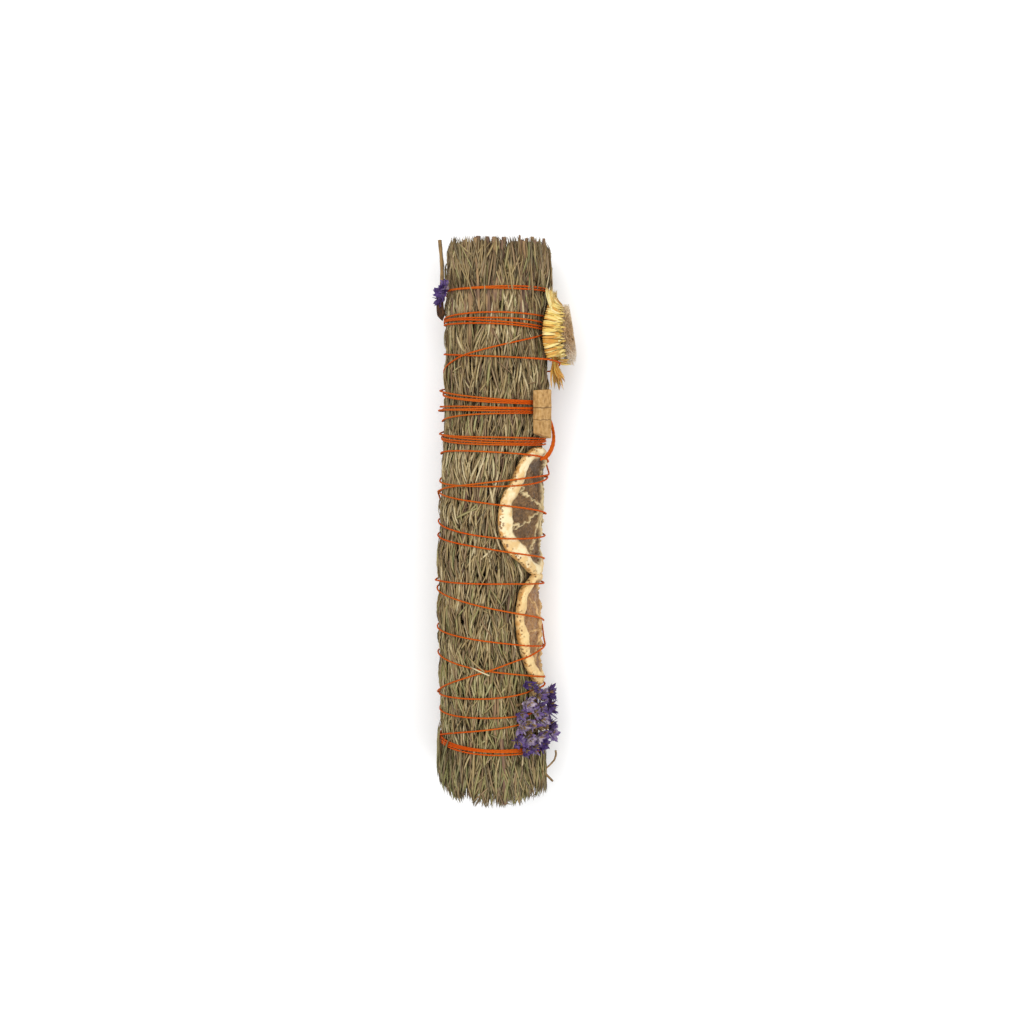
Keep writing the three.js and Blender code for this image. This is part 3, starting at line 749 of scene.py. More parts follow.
@dataclass(frozen=True)
class Winding:
    """The thread's way down the bundle and back up over its own turns.

    Attributes:
        down: where each turn of the way down crosses the left side, the top and the right side.
        back: the same for the way back.
        radius: half of the thread's thickness.
        out: the distance of its middle from the axis, where it lies on the rosemary.
        underside: how far down its middle may lie on the way down.
        lowest: the same on the way back.
    """

    down: tuple[tuple[float, float, float], ...] = (
        (87.2, 87.4, 87.6), (86.5, 86.7, 86.9), (76.8, 78.2, 76.9), (76.2, 76.0, 73.7),
        (75.5, 74.9, 72.6), (74.8, 74.0, 71.6), (63.7, 61.9, 60.2), (49.8, 46.7, 46.1),
        (49.0, 45.9, 45.3), (48.3, 45.2, 44.5), (43.7, 43.7, 43.2), (42.9, 42.9, 42.3),
        (42.2, 42.2, 41.5), (38.1, 41.4, 40.8), (33.6, 32.3, 31.5), (32.9, 31.5, 30.9),
        (32.3, 30.6, 30.3), (31.7, 29.5, 29.6), (25.4, 27.3, 22.7), (15.8, 14.3, 16.6),
        (10.9, 7.7, 2.6), (-0.1, -4.2, -6.0), (-5.2, -9.1, -15.3), (-23.6, -22.2, -24.4),
        (-26.3, -30.8, -39.7), (-41.1, -44.1, -49.6), (-51.6, -55.1, -61.6), (-68.0, -65.4, -64.4),
        (-74.0, -73.4, -73.2), (-84.9, -85.2, -87.9), (-85.6, -85.8, -88.5), (-86.2, -86.4, -89.1),
        (-86.9, -87.0, -89.8),
    )
    back: tuple[tuple[float, float, float], ...] = (
        (-85.2, -77.6, -77.2), (-68.0, -55.1, -47.3), (10.9, 16.2, 17.5), (56.8, 65.6, 72.4),
    )
    radius: float = 0.4
    out: float = 20.0
    underside: float = 19.2
    lowest: float = 20.25
    drift_size: float = 0.2
    slack_run: float = 13.0
    slack_turns: tuple[tuple[int, float, float], ...] = (
        (7, -92.0, 1.5), (10, -88.0, 1.1), (12, -94.0, 1.8), (14, -86.0, 0.9), (23, -90.0, 0.7),
    )
    coarse_steps: int = 72
    first: float = -210.0
    clear: float = 0.7

    def last(self) -> float:
        """How far the thread has turned at its end, in degrees."""
        return 360.0 * (len(self.down) + len(self.back) - 0.25) - 90.0

    def y_at(self, turned: Numbers) -> Numbers:
        """The thread's place along the bundle.

        Args:
            turned: how far it has turned, in degrees.

        Returns:
            The places along the bundle.
        """
        turns = np.array(self.down + self.back)
        turn = np.clip(np.floor((turned + 90.0) / 360.0), 0, len(turns) - 1).astype(int)
        left, top, right = np.moveaxis(turns[turn], -1, 0)
        angle = turned - 360.0 * turn
        side = np.clip(angle, -90.0, 90.0) / 90.0
        above = top + (right - left) / 2.0 * side + ((left + right) / 2.0 - top) * side**2
        next_left = np.append(turns[1:, 0], turns[-1, 2] + 3.0)[turn]
        below = right + (next_left - right) * (angle - 90.0) / 180.0
        return np.where(angle <= 90.0, above, below)

    def drift(self, turned: Numbers) -> Numbers:
        """How far each turn strays along the bundle, so that neighbours touch and part again.

        Args:
            turned: how far the thread has turned, in degrees.

        Returns:
            The distances along the bundle.
        """
        turn = np.clip(np.floor((turned + 90.0) / 360.0), 0, 40)
        angle = np.radians(turned - 360.0 * turn)
        stray = np.sin(angle * 1.1 + turn * 2.3) + 0.6 * np.sin(angle * 2.7 + turn * 4.1)
        return self.drift_size * stray

    def slack(self, turned: Numbers) -> Numbers:
        """How far some turns stand off at the bundle's left side.

        Args:
            turned: how far the thread has turned, in degrees.

        Returns:
            The distances outward.
        """
        total = np.zeros_like(turned)
        for turn, at, height in self.slack_turns:
            total += height * np.exp(-(((turned - 360.0 * turn - at) / self.slack_run) ** 2))
        return total

    def crossings(self, angle: Numbers) -> Numbers:
        """Where the turns of the way down cross lines along the bundle."""
        turns = np.arange(len(self.down))[:, None] * 360.0
        return self.y_at(turns + np.atleast_1d(angle)[None, :])

    def least_out(self, turned: Numbers, y: Numbers) -> Numbers:
        """The least distance from the axis at which the thread clears what lies under it.

        Args:
            turned: how far the thread has turned, in degrees.
            y: its places along the bundle.

        Returns:
            The distances.
        """
        angle = turn_between(0.0, turned)
        going_back = smoothed(0.0, 90.0, turned - 360.0 * (len(self.down) - 1))
        nearest = np.abs(self.crossings(angle) - y).min(axis=0)
        over = going_back * self.clear * (nearest < 1.0)
        down = -np.cos(np.radians(angle))
        depth = self.underside + (self.lowest - self.underside) * going_back
        reach = self.out + over
        reach = np.where(down > 0.5, np.minimum(reach, depth / np.maximum(down, 0.5)), reach)
        for one in SLICES:
            rim = one.inside + one.thickness + self.radius + 0.15 + over
            reach = np.where(one.share(angle, y) < 1.03, np.maximum(reach, rim), reach)
        from_flower = np.radians(turn_between(FLOWER_BEND.angle, angle)) * FLOWER_BEND.inside
        crosses = (y < 65.0) & (np.hypot(from_flower, y - FLOWER_BEND.y) < 19.5)
        past = np.maximum(angle - FLOWER_BEND.straight_from, 0.0)
        top = (FLOWER_BEND.inside + 2.4) / np.cos(np.radians(past))
        return np.where(crosses, np.maximum(reach, top), reach)

    def path(self, spacing: float) -> Numbers:
        """The thread's middle line, pulled taut over all that it must clear.

        Args:
            spacing: the turn between two of its points, in degrees.

        Returns:
            The points in the bundle's millimetres.
        """
        turned = np.arange(self.first, self.last(), 360.0 / self.coarse_steps)
        y = self.y_at(turned)
        least = self.least_out(turned, y)
        out = least.copy()
        for _ in range(160):
            points = around(turned, out, y)
            chord = (points[:-2] + points[2:]) / 2.0
            out[1:-1] = np.maximum(least[1:-1], np.hypot(chord[:, 0], chord[:, 2]))
        fine = np.arange(turned[0], turned[-1], spacing)
        stray = self.drift(fine)
        lifted = np.interp(fine, turned, out) + self.slack(fine) + 0.3 * np.abs(stray)
        points = around(fine, lifted, self.y_at(fine) + stray)
        points[:, 2] = np.maximum(points[:, 2], -self.lowest)
        eased = points.copy()
        for _ in range(6):
            eased[1:-1] = (eased[:-2] + 2.0 * eased[1:-1] + eased[2:]) / 4.0
        return eased


@dataclass(frozen=True)
class Crust:
    """How far out the rosemary reaches: pressed in under the thread and bulging between turns.

    Attributes:
        pressed: how far it reaches under the thread.
        bulge: how much further it reaches between turns, once it is `bulge_run` away from them.
        flare: how far it reaches at both ends, past the ties at `top_tie` and `bottom_tie`.
        slice_bed: how far it reaches under the slices, and so on for the twig and the spray.
    """

    winding: Winding
    pressed: float = 19.4
    bulge: float = 1.25
    bulge_run: float = 2.4
    flare: float = 20.9
    corner_flare: float = 1.1
    left_flare: float = 1.1
    flare_run: float = 30.0
    top_tie: float = 90.0
    bottom_tie: float = -92.0
    top_end: float = 105.4
    bottom_end: float = -108.7
    slice_bed: float = 17.3
    twig_bed: float = 19.0
    spray_bed: float = 18.0
    underside: float = 18.8
    bins: int = 120
    lowest_y: float = -114.0
    step: float = 0.5
    rows: int = 450

    def gaps(self) -> Numbers:
        """The distances to the nearest turn of the thread.

        Returns:
            The distances, one row for each angle and one column for each place.
        """
        angles = np.arange(self.bins) * 360.0 / self.bins
        crossings = self.winding.crossings(turn_between(0.0, angles))
        y = self.lowest_y + np.arange(self.rows) * self.step
        return np.abs(y[None, None, :] - crossings[:, :, None]).min(axis=0)

    def reach(self, grid: Numbers, angle: Numbers, y: Numbers) -> Numbers:
        """How far out a needle may reach.

        Args:
            grid: the distances from gaps().
            angle: degrees round the bundle.
            y: places along the bundle.

        Returns:
            The distances from the axis.
        """
        turn = (angle % 360.0) / 360.0 * self.bins
        low = np.floor(turn).astype(int)
        row = np.clip(((y - self.lowest_y) / self.step).round(), 0, self.rows - 1).astype(int)
        share = turn - low
        near = grid[low % self.bins, row] * (1.0 - share) + grid[(low + 1) % self.bins, row] * share
        past_top = (y - self.top_tie) / (self.top_end - self.top_tie)
        past_bottom = (y - self.bottom_tie) / (self.bottom_end - self.bottom_tie)
        past = np.clip(np.maximum(past_top, past_bottom), 0.0, 1.0)
        bulged = self.pressed + self.bulge * (1.0 - np.exp(-((near / self.bulge_run) ** 2)))
        signed = turn_between(0.0, angle)
        corner = self.corner_flare * np.exp(-(((signed - 80.0) / self.flare_run) ** 2))
        left = np.exp(-(((signed + 80.0) / self.flare_run) ** 2))
        corner = corner + self.left_flare * (y < 0.0) * left
        out = bulged + (self.flare + corner - bulged) * past
        for one in SLICES:
            rise = smoothed(1.0, 1.09, one.share(angle, y))
            out = np.minimum(out, self.slice_bed + (out - self.slice_bed) * rise)
        at_twig = (y > 84.0) & (signed > -104.0) & (signed < -66.0)
        out = np.where(at_twig, np.minimum(out, self.twig_bed), out)
        at_spray = (y < -63.0) & (y > -90.0) & (signed > 14.0) & (signed < 118.0)
        out = np.where(at_spray, np.minimum(out, self.spray_bed + 0.9), out)
        down = -np.cos(np.radians(angle))
        depth = self.underside + (-FLOOR - 0.15 - self.underside) * past
        return np.where(down > 0.5, np.minimum(out, depth / np.maximum(down, 0.5)), out)


class Tips(Enum):
    """Which end of the bundle a sprig's needles point to."""

    UPPER = 1.0
    LOWER = -1.0


@dataclass(frozen=True)
class NeedleFinish:
    """Dried rosemary needles: khaki to dark brown, some still greenish, paler along the midrib as a painted
    highlight, with painted shade at the root.
    """

    dark: str = "34270f"
    brown: str = "6e552f"
    khaki: str = "8f7a4d"
    pale: str = "c4b48e"
    green: str = "777c44"
    plum: str = "70523d"

    def material(self) -> bpy.types.Material:
        """The finish as a material that reads each needle's tone and greenness.

        Returns:
            The material.
        """
        recipe = Recipe("dried_needles", roughness=0.72, specular=0.25)
        tone = recipe.mark("tone")
        speck = recipe.noise(1.1, detail=4.0)
        uneven = recipe.plus(tone, recipe.about(speck, 0.5))
        paint = recipe.ramp(
            uneven, (0.02, self.dark), (0.34, self.brown), (0.66, self.khaki), (0.97, self.pale)
        )
        paint = recipe.mixed(recipe.mark("green"), paint, self.green)
        paint = recipe.mixed(recipe.mark("plum"), paint, self.plum)
        across = recipe.sum("ABSOLUTE", recipe.mark("across"))
        # Paler along each needle's midrib: the rib is raised, and its paleness is a painted highlight.
        rib_and_highlight = recipe.eased(across, 0.75, 0.15)
        paint = recipe.mixed(recipe.times(rib_and_highlight, 0.3), paint, self.pale)
        # Painted shade: each needle darkens toward its root, where it goes in among the other needles.
        root = recipe.eased(recipe.mark("along"), 0.35, 0.0)
        paint = recipe.mixed(recipe.times(root, 0.75), paint, self.dark)
        tip = recipe.eased(recipe.mark("along"), 0.9, 1.0)
        paint = recipe.mixed(recipe.times(tip, 0.5), paint, self.brown)
        grain = recipe.noise(0.25, detail=2.0, stretch=(1.0, 0.2, 1.0))
        recipe.painted(paint).raised(rib_and_highlight, 0.12, 0.6).raised(grain, 0.06, 0.5)
        return recipe.material


@dataclass(frozen=True)
class BarkFinish:
    """Woody stems: tan to purple-brown bark with fine lengthwise cracks."""

    name: str
    deep: str
    bark: str
    worn: str

    def material(self) -> bpy.types.Material:
        """The finish as a material.

        Returns:
            The material.
        """
        recipe = Recipe(self.name, roughness=0.8, specular=0.2)
        streak = recipe.noise(0.7, detail=5.0, stretch=(1.0, 0.12, 1.0), distortion=0.4)
        patch = recipe.noise(6.0, detail=2.0)
        mark = recipe.plus(streak, recipe.times(recipe.mark("tone"), 0.35))
        paint = recipe.ramp(mark, (0.36, self.deep), (0.6, self.bark), (0.86, self.worn))
        paint = recipe.mixed(recipe.eased(patch, 0.5, 0.75), paint, self.bark)
        recipe.painted(paint).raised(streak, 0.25, 0.8)
        return recipe.material


def frames(centres: Numbers, outward: Numbers, roll: Numbers) -> tuple[Numbers, Numbers]:
    """Directions across rods that run along paths.

    Args:
        centres: the rods' ring middles, as rods x rings x 3.
        outward: the way that each rod's back faces, in the same layout.
        roll: how far each rod is rolled about its path, in radians.

    Returns:
        Unit vectors across the width and through the thickness, in the same layout.
    """
    along = unit(np.gradient(centres, axis=1))
    wide = unit(np.cross(along, outward))
    thick = np.cross(wide, along)
    cos, sin = np.cos(roll)[:, None, None], np.sin(roll)[:, None, None]
    return wide * cos + thick * sin, thick * cos - wide * sin


def outward_at(points: Numbers) -> Numbers:
    """The directions away from the bundle's axis.

    Args:
        points: places in the bundle.

    Returns:
        Unit vectors, one a place.
    """
    level = points.copy()
    level[..., 1] = 0.0
    return unit(level)


@dataclass(frozen=True)
class Twig:
    """A thin woody stem through places given as angle, distance out and place along."""

    route: tuple[tuple[float, float, float], ...]
    radius: float
    tip_radius: float


@dataclass(frozen=True)
class Growth:
    """How stems grow along their routes.

    Attributes:
        rings: how many rings each stem has.
        end_ring: how far its second ring lies from its end, as a share of its length.
        rounds: how often its path is eased.
        knots: how uneven its thickness is.
        knot_run: the run of that unevenness.
    """

    rings: int
    end_ring: float
    rounds: int
    knots: float
    knot_run: float

    def grown(self, twigs: Sequence[Twig], seed: int) -> tuple[Numbers, Numbers]:
        """The paths and the thickness of stems.

        Args:
            twigs: the stems.
            seed: chooses their unevenness.

        Returns:
            The ring middles, as stems x rings x 3, and the radii, as stems x rings.
        """
        share = np.linspace(0.0, 1.0, self.rings)
        share[1], share[-2] = self.end_ring, 1.0 - self.end_ring
        paths, radii = [], []
        for k, twig in enumerate(twigs):
            corners = np.array([around(*place) for place in twig.route])
            path = eased_route(corners, share, self.rounds, held=2)
            knots = 1.0 + self.knots * ripple(path, self.knot_run, seed=seed + k)
            paths.append(path)
            radii.append(np.interp(share, [0.0, 1.0], [twig.radius, twig.tip_radius]) * knots)
        return np.array(paths), np.array(radii)


@dataclass
class Sprig:
    """One sprig of rosemary: its woody stems and its needles, in tufts.

    Attributes:
        index: its number, from 0.
        angle: the middle of its share of the bundle.
        out: its main stem's distance from the axis.
        half: half of its share of the bundle, in degrees.
        tips: the end that its needles point to.
        crust: how far out the rosemary reaches.
        grid: the crust's distances to the thread.
        shown: stems of its own that show at the surface.
        straws: pale straws that lie across its needles.
    """

    index: int
    angle: float
    out: float
    half: float
    tips: Tips
    crust: Crust
    grid: Numbers
    shown: tuple[Twig, ...] = ()
    straws: tuple[Twig, ...] = ()
    needle_count: int = 1050
    end_needle_count: int = 170
    twiglets: int = 5
    tuft_spacing: float = 5.2
    spill: float = 6.5
    sticks: int = 5
    butt_sticks: int = 5
    half_width: tuple[float, float] = (0.27, 0.52)
    length: tuple[float, float] = (8.0, 17.0)
    lean: float = 20.0
    crossing: float = 0.1
    long: float = 0.1
    stray: float = 3.6
    filling: float = 0.25
    layers: tuple[float, ...] = (0.0, 0.9, 1.8, 3.0)
    layer_shares: tuple[float, ...] = (0.46, 0.27, 0.16, 0.11)
    needle: Rod = field(default_factory=lambda: Rod(sides=4, rings=6))
    stem: Rod = field(default_factory=lambda: Rod(sides=7, rings=26))

    def bottom_trim(self, points: Numbers) -> Numbers:
        """How low the trimmed needles may reach, higher at the bundle's left corner.

        Args:
            points: places in the bundle.

        Returns:
            The lowest place along the bundle for each.
        """
        share = np.hypot(points[..., 0], points[..., 2]) / self.crust.flare
        left = np.clip(-points[..., 0] / self.crust.flare, 0.0, 1.0)
        return self.crust.bottom_end + 0.7 * share**2 + 5.5 * left**6

    def top_trim(self, points: Numbers) -> Numbers:
        """How far up the cut ends reach, further at the sides so that the camera sees them level.

        Args:
            points: places in the bundle.

        Returns:
            The highest place along the bundle for each.
        """
        share = np.clip(points[..., 2] / self.crust.flare, 0.0, 1.0)
        left = np.clip((-points[..., 0] - 16.4) / 2.3, 0.0, 1.2)
        right = np.clip((points[..., 0] - 16.8) / 3.7, 0.0, 1.2)
        return self.crust.top_end + 0.3 + 2.6 * (1.0 - share) - 7.5 * left - 4.5 * right**2

    def surface_paths(self, chance: np.random.Generator) -> Numbers:
        """The needles of a sprig in the outer ring.

        Args:
            chance: the random numbers.

        Returns:
            Their ring middles, as needles x rings x 3.
        """
        count, rings = self.needle_count, self.needle.rings
        twiglet = chance.integers(self.twiglets, size=count)
        even = np.linspace(-0.95, 0.95, self.twiglets) + chance.normal(0.0, 0.1, size=self.twiglets)
        lines = self.angle + even * self.half
        span = self.crust.top_end - self.crust.bottom_end
        root_y = self.crust.bottom_end - 8.0 + chance.uniform(0.0, 1.0, size=count) * (span + 16.0)
        tuft = np.round(root_y / self.tuft_spacing + twiglet * 0.37) * self.tuft_spacing
        root_y = root_y + (tuft - root_y) * 0.6 + chance.normal(0.0, 0.8, size=count)
        wander = 3.4 * np.sin(root_y / (14.0 + 4.0 * twiglet) + twiglet * 2.0 + self.index)
        side = chance.choice([-1.0, 1.0], size=count)
        lean = side * chance.uniform(0.0, self.lean, size=count) + chance.normal(0.0, 6.0, size=count)
        crossing = chance.random(count) < self.crossing
        lean = np.where(crossing, chance.normal(0.0, 34.0, size=count), lean)
        length = chance.uniform(*self.length, size=count)
        length = np.where(chance.random(count) < self.long, length * 1.6, length)
        start = lines[twiglet] + wander + chance.normal(0.0, self.stray, size=count)
        filling = self.angle + chance.uniform(-1.1, 1.1, size=count) * self.half
        start = np.where(chance.random(count) < self.filling, filling, start)
        least, most = self.angle - self.half - self.spill, self.angle + self.half + self.spill
        start = np.clip(start, least, most)
        sideways = length * np.sin(np.radians(lean))
        end = np.clip(start + np.degrees(sideways / 19.5), least, most)
        curled = chance.random(count) < 0.1
        curl = np.where(curled, chance.normal(0.0, 5.0, size=count), chance.normal(0.0, 1.3, size=count))
        layer = chance.choice(self.layers, p=self.layer_shares, size=count)
        depth = 0.3 + layer + chance.uniform(0.0, 0.6, size=count)
        steps = 4
        share = np.linspace(0.0, 1.0, steps * (rings - 1) + 1)[None, :]
        run = length * np.cos(np.radians(lean)) * self.tips.value
        y = root_y[:, None] + run[:, None] * share
        angle = start[:, None] + (end - start)[:, None] * share
        angle = angle + curl[:, None] * share * (share - 0.4)
        reach = self.crust.reach(self.grid, angle, y)
        ends = reach[:, :1] * (1.0 - share) + reach[:, -1:] * share
        half_way = reach.shape[1] // 2
        middle = reach[:, half_way : half_way + 1] - (reach[:, :1] + reach[:, -1:]) / 2.0
        stiff = ends + middle * 4.0 * share * (1.0 - share)
        over = np.clip((stiff - reach).max(axis=1, keepdims=True) - 0.3, 0.0, 1.4)
        stiff = stiff - over
        share, y, angle, reach, stiff = (grid[:, ::steps] for grid in (share, y, angle, reach, stiff))
        rise = np.clip(1.0 - share / 0.4, 0.0, 1.0) ** 2 * chance.uniform(0.5, 2.4, size=(count, 1))
        loose = chance.uniform(-0.8, 0.35, size=(count, 1)) * share**2
        out = np.minimum(stiff, reach + 0.1) - depth[:, None] - rise
        out = out + np.where(layer[:, None] == 0.0, loose, 0.0)
        return around(angle, out, y)

    def end_paths(self, chance: np.random.Generator, least: float, most: float) -> Numbers:
        """Ring middles of straight needles inside the bundle near its two ends.

        Args:
            chance: the random numbers.
            least: the least distance from the axis.
            most: the most.

        Returns:
            Their ring middles, as needles x rings x 3.
        """
        count, rings = self.end_needle_count, self.needle.rings
        toward = self.tips.value
        angle = self.angle + chance.uniform(-self.half, self.half, size=count)
        out = np.sqrt(chance.uniform(least**2, most**2, size=count))
        at_top = chance.random(count) < 0.5
        tip_y = np.where(at_top, self.crust.top_end, self.crust.bottom_end)
        tip_y = tip_y - np.sign(tip_y) * chance.uniform(-2.0, 16.0, size=count)
        length = chance.uniform(*self.length, size=count)
        share = np.linspace(0.0, 1.0, rings)[None, :]
        upward = np.where(at_top, 1.0, -1.0)[:, None]
        y = tip_y[:, None] - upward * length[:, None] * (1.0 - share if toward > 0 else share)
        lean = chance.normal(0.0, 1.3, size=(count, 2))
        points = around(angle[:, None], out[:, None], y)
        points[..., 0] += lean[:, :1] * (share - 0.5)
        points[..., 2] += lean[:, 1:] * (share - 0.5)
        return points

    def needles(self, chance: np.random.Generator, centres: Numbers) -> Batch:
        """Needles along paths, trimmed at both ends, each with its own width, roll and tone.

        Args:
            chance: the random numbers.
            centres: their ring middles, as needles x rings x 3.

        Returns:
            The needles with their marks.
        """
        count = len(centres)
        floor = self.bottom_trim(centres) + 6.0 * chance.uniform(0.0, 1.0, size=(count, 1)) ** 2
        centres[..., 1] += np.maximum(floor - centres[..., 1], 0.0).max(axis=1, keepdims=True)
        top = self.top_trim(centres) - 8.0 * chance.uniform(0.0, 1.0, size=(count, 1)) ** 1.6
        centres[..., 1] -= np.maximum(centres[..., 1] - top, 0.0).max(axis=1, keepdims=True)
        roll = chance.normal(0.0, 0.5, size=count)
        wide, thick = frames(centres, outward_at(centres), roll)
        half = chance.uniform(*self.half_width, size=(count, 1))
        profile = np.interp(
            np.linspace(0.0, 1.0, self.needle.rings),
            [0.0, 0.2, 0.4, 0.6, 0.8, 1.0],
            [0.5, 0.8, 1.0, 1.0, 0.78, 0.0],
        )
        half_wide = (half * profile)[..., None]
        half_thick = half_wide * chance.uniform(0.42, 0.65, size=(count, 1, 1))
        batch = self.needle.swept(centres, wide * half_wide, thick * half_thick)
        batch.places[..., 2] = np.maximum(batch.places[..., 2], FLOOR + 0.02)
        middle = centres[:, self.needle.rings // 2]
        patch = ripple(middle, 24.0, seed=5) * 0.1 + ripple(middle, 7.0, seed=6) * 0.08
        # Painted shade: needles near both cut ends get a lower, darker tone, standing in for the shade among
        # the sparse ends.
        ends = 0.2 * smoothed(84.0, 98.0, middle[:, 1]) + 0.3 * smoothed(-84.0, -98.0, middle[:, 1])
        tone = np.clip(chance.beta(2.2, 2.2, size=count) + patch - ends, 0.0, 1.0)
        lower = smoothed(-20.0, -80.0, middle[:, 1])
        greener = chance.random(count) < 0.12 + 0.3 * lower
        green = np.where(greener, chance.uniform(0.25, 0.7, size=count), 0.0)
        redder = ~greener & (chance.random(count) < 0.24)
        plum = np.where(redder, chance.uniform(0.3, 0.85, size=count), 0.0)
        return batch.mark("tone", tone).mark("green", green).mark("plum", plum)

    def main_stem(self, chance: np.random.Generator) -> list[Twig]:
        """The stem that the sprig grows on, and short cut stems beside it at the butt end.

        Args:
            chance: the random numbers.

        Returns:
            The stems.
        """
        up = self.tips is Tips.UPPER
        butt = -103.0 if up else self.crust.top_end - chance.uniform(0.0, 2.0)
        tip = 101.0 if up else -103.0
        sway = chance.uniform(0.0, 6.0)
        route = []
        for y in np.linspace(butt, tip, 12):
            out = self.out + 0.5 * math.sin(y / 23.0 + sway) * (self.out > 0.0)
            drop = 0.0
            if self.angle == 180.0 and self.out > 12.0:
                past = max(y - 62.0, -64.0 - y, 0.0) / 38.0
                drop = 5.0 * min(past, 1.0) ** 2.6
            route.append((self.angle, out + drop, y))
        stems = [Twig(tuple(route), chance.uniform(1.0, 1.3), 0.6)]
        for _ in range(3):
            angle = self.angle + chance.uniform(-0.8, 0.8) * self.half
            out = self.out + chance.uniform(-2.6, 2.6)
            end = butt + (3.0 if up else -chance.uniform(0.0, 4.0))
            inner_end = end + (1.0 if up else -1.0) * chance.uniform(24.0, 40.0)
            half_way = (angle + 2.0, out - 0.6, (end + inner_end) / 2)
            route = ((angle, out, end), half_way, (angle, out - 1.5, inner_end))
            stems.append(Twig(route, chance.uniform(0.5, 0.95), 0.4))
        return stems

    def surface_sticks(self, chance: np.random.Generator) -> list[Twig]:
        """Thin bare twigs that lie among the needles at the surface.

        Args:
            chance: the random numbers.

        Returns:
            The twigs.
        """
        twigs = []
        cut = self.top_trim(around(self.angle, self.crust.flare, 0.0))
        for k in range(self.sticks + self.butt_sticks):
            butt = k >= self.sticks
            long = chance.uniform(14.0, 42.0)
            y = chance.uniform(self.crust.bottom_end + 6.0, self.crust.top_end - 8.0)
            y = cut - chance.uniform(0.0, 2.5) - long / 2.0 if butt else y
            share = np.linspace(-1.0, 1.0, 13)
            ends = np.clip(y + long / 2.0 * share, -104.0, cut)
            angle = self.angle + chance.uniform(-0.9, 0.9) * self.half
            angles = angle + chance.normal(0.0, 3.5) * share
            thick = chance.uniform(0.38, 0.7) + 0.3 * butt
            reach = self.crust.reach(self.grid, angles, ends).min() - thick - chance.uniform(0.0, 0.6)
            route = tuple((float(a), float(reach), float(e)) for a, e in zip(angles, ends, strict=True))
            twigs.append(Twig(route, thick, thick * chance.uniform(0.75, 1.0)))
        return twigs

    def stems(self, chance: np.random.Generator, twigs: Sequence[Twig]) -> Batch:
        """Woody stems with uneven, slightly knotty bark and cut ends.

        Args:
            chance: the random numbers.
            twigs: the stems.

        Returns:
            The stems as one batch.
        """
        growth = Growth(self.stem.rings, end_ring=0.0005, rounds=3, knots=0.08, knot_run=5.0)
        centres, radii = growth.grown(twigs, self.index)
        wide, thick = frames(centres, outward_at(centres + 0.01), np.zeros(len(twigs)))
        batch = self.stem.swept(centres, wide * radii[..., None], thick * radii[..., None])
        batch.places[..., 2] = np.maximum(batch.places[..., 2], FLOOR)
        return batch.mark("tone", chance.random(len(twigs))).dressed(1)

    def build(self, finishes: Sequence[bpy.types.Material]) -> None:
        """Makes the sprig and puts it in the place of its node.

        Args:
            finishes: the finishes of its needles and of its stems.
        """
        chance = np.random.default_rng(100 + self.index)
        batches = []
        if self.out > 12.0:
            batches.append(self.needles(chance, self.surface_paths(chance)))
            batches.append(self.needles(chance, self.end_paths(chance, 12.0, 18.5)))
        else:
            least = max(self.out - 3.6, 0.0)
            batches.append(self.needles(chance, self.end_paths(chance, least, self.out + 3.6)))
        twigs = [*self.main_stem(chance), *self.shown]
        if self.out > 12.0:
            twigs += self.surface_sticks(chance)
        batches.append(self.stems(chance, twigs))
        if self.straws:
            straws = self.stems(chance, self.straws).dressed(0)
            batches.append(straws.mark("tone", np.linspace(1.1, 0.6, len(self.straws))))
        name = f"rosemary_sprig_{self.index + 1:02d}"
        part = Part(f"{name}_needles", (name,), "dried_rosemary")
        assembled(part, batches, finishes)


@dataclass
class Rosemary:
    """All the sprigs: twelve outside, six inside them, and one in the middle."""

    crust: Crust
    grid: Numbers
    outer_out: float = 15.5
    inner_out: float = 7.9

    def tips_of(self, index: int) -> Tips:
        """The end that a sprig points to: every third one lies the other way."""
        return Tips.UPPER if index % 3 == 2 else Tips.LOWER

    def shown_twigs(self) -> dict[int, tuple[Twig, ...]]:
        """The bare stems that show on the upper side, under the index of the sprig that has them."""
        return {
            0: (
                Twig(((0.0, 19.2, 105.2), (0.5, 18.6, 92.0), (1.0, 18.3, 79.0)), 1.0, 0.7),
                Twig(((8.0, 19.4, 104.0), (7.0, 18.8, 94.0), (5.0, 18.6, 84.0)), 0.7, 0.6),
                Twig(((12.0, 19.0, -78.0), (14.0, 19.4, -92.0), (15.0, 20.2, -106.5)), 0.9, 0.75),
            ),
            11: (
                Twig(((-20.0, 20.1, 104.8), (-19.5, 19.6, 91.0), (-19.0, 19.2, 79.0)), 0.65, 0.5),
            ),
        }

    def crossing_straws(self) -> tuple[Twig, ...]:
        """The two straws that lie across the needles at the lower left, one pale and one brown."""
        return (
            Twig(((-19.5, 20.9, -53.4), (-9.0, 21.2, -55.0), (1.0, 21.0, -56.6)), 0.34, 0.26),
            Twig(((-22.5, 20.4, -49.6), (-13.0, 20.9, -52.6), (-4.0, 20.8, -55.2)), 0.34, 0.26),
        )

    def sprigs(self) -> list[Sprig]:
        """The nineteen sprigs.

        Returns:
            The sprigs in the order of their nodes.
        """
        made = []
        for k in range(19):
            if k < 12:
                angle, out, half = 30.0 * k, self.outer_out, 15.0
            elif k < 18:
                angle, out, half = 60.0 * (k - 12), self.inner_out, 30.0
            else:
                angle, out, half = 0.0, 0.0, 180.0
            shown = self.shown_twigs().get(k, ())
            straws = self.crossing_straws() if k == 11 else ()
            tips = self.tips_of(k)
            made.append(Sprig(k, angle, out, half, tips, self.crust, self.grid, shown, straws))
        return made

    def build(self) -> None:
        """Makes every sprig, with the two finishes that they share."""
        bark = BarkFinish("woody_stems", deep="403026", bark="735a49", worn="9a7d58")
        finishes = [NeedleFinish().material(), bark.material()]
        for sprig in self.sprigs():
            sprig.build(finishes)


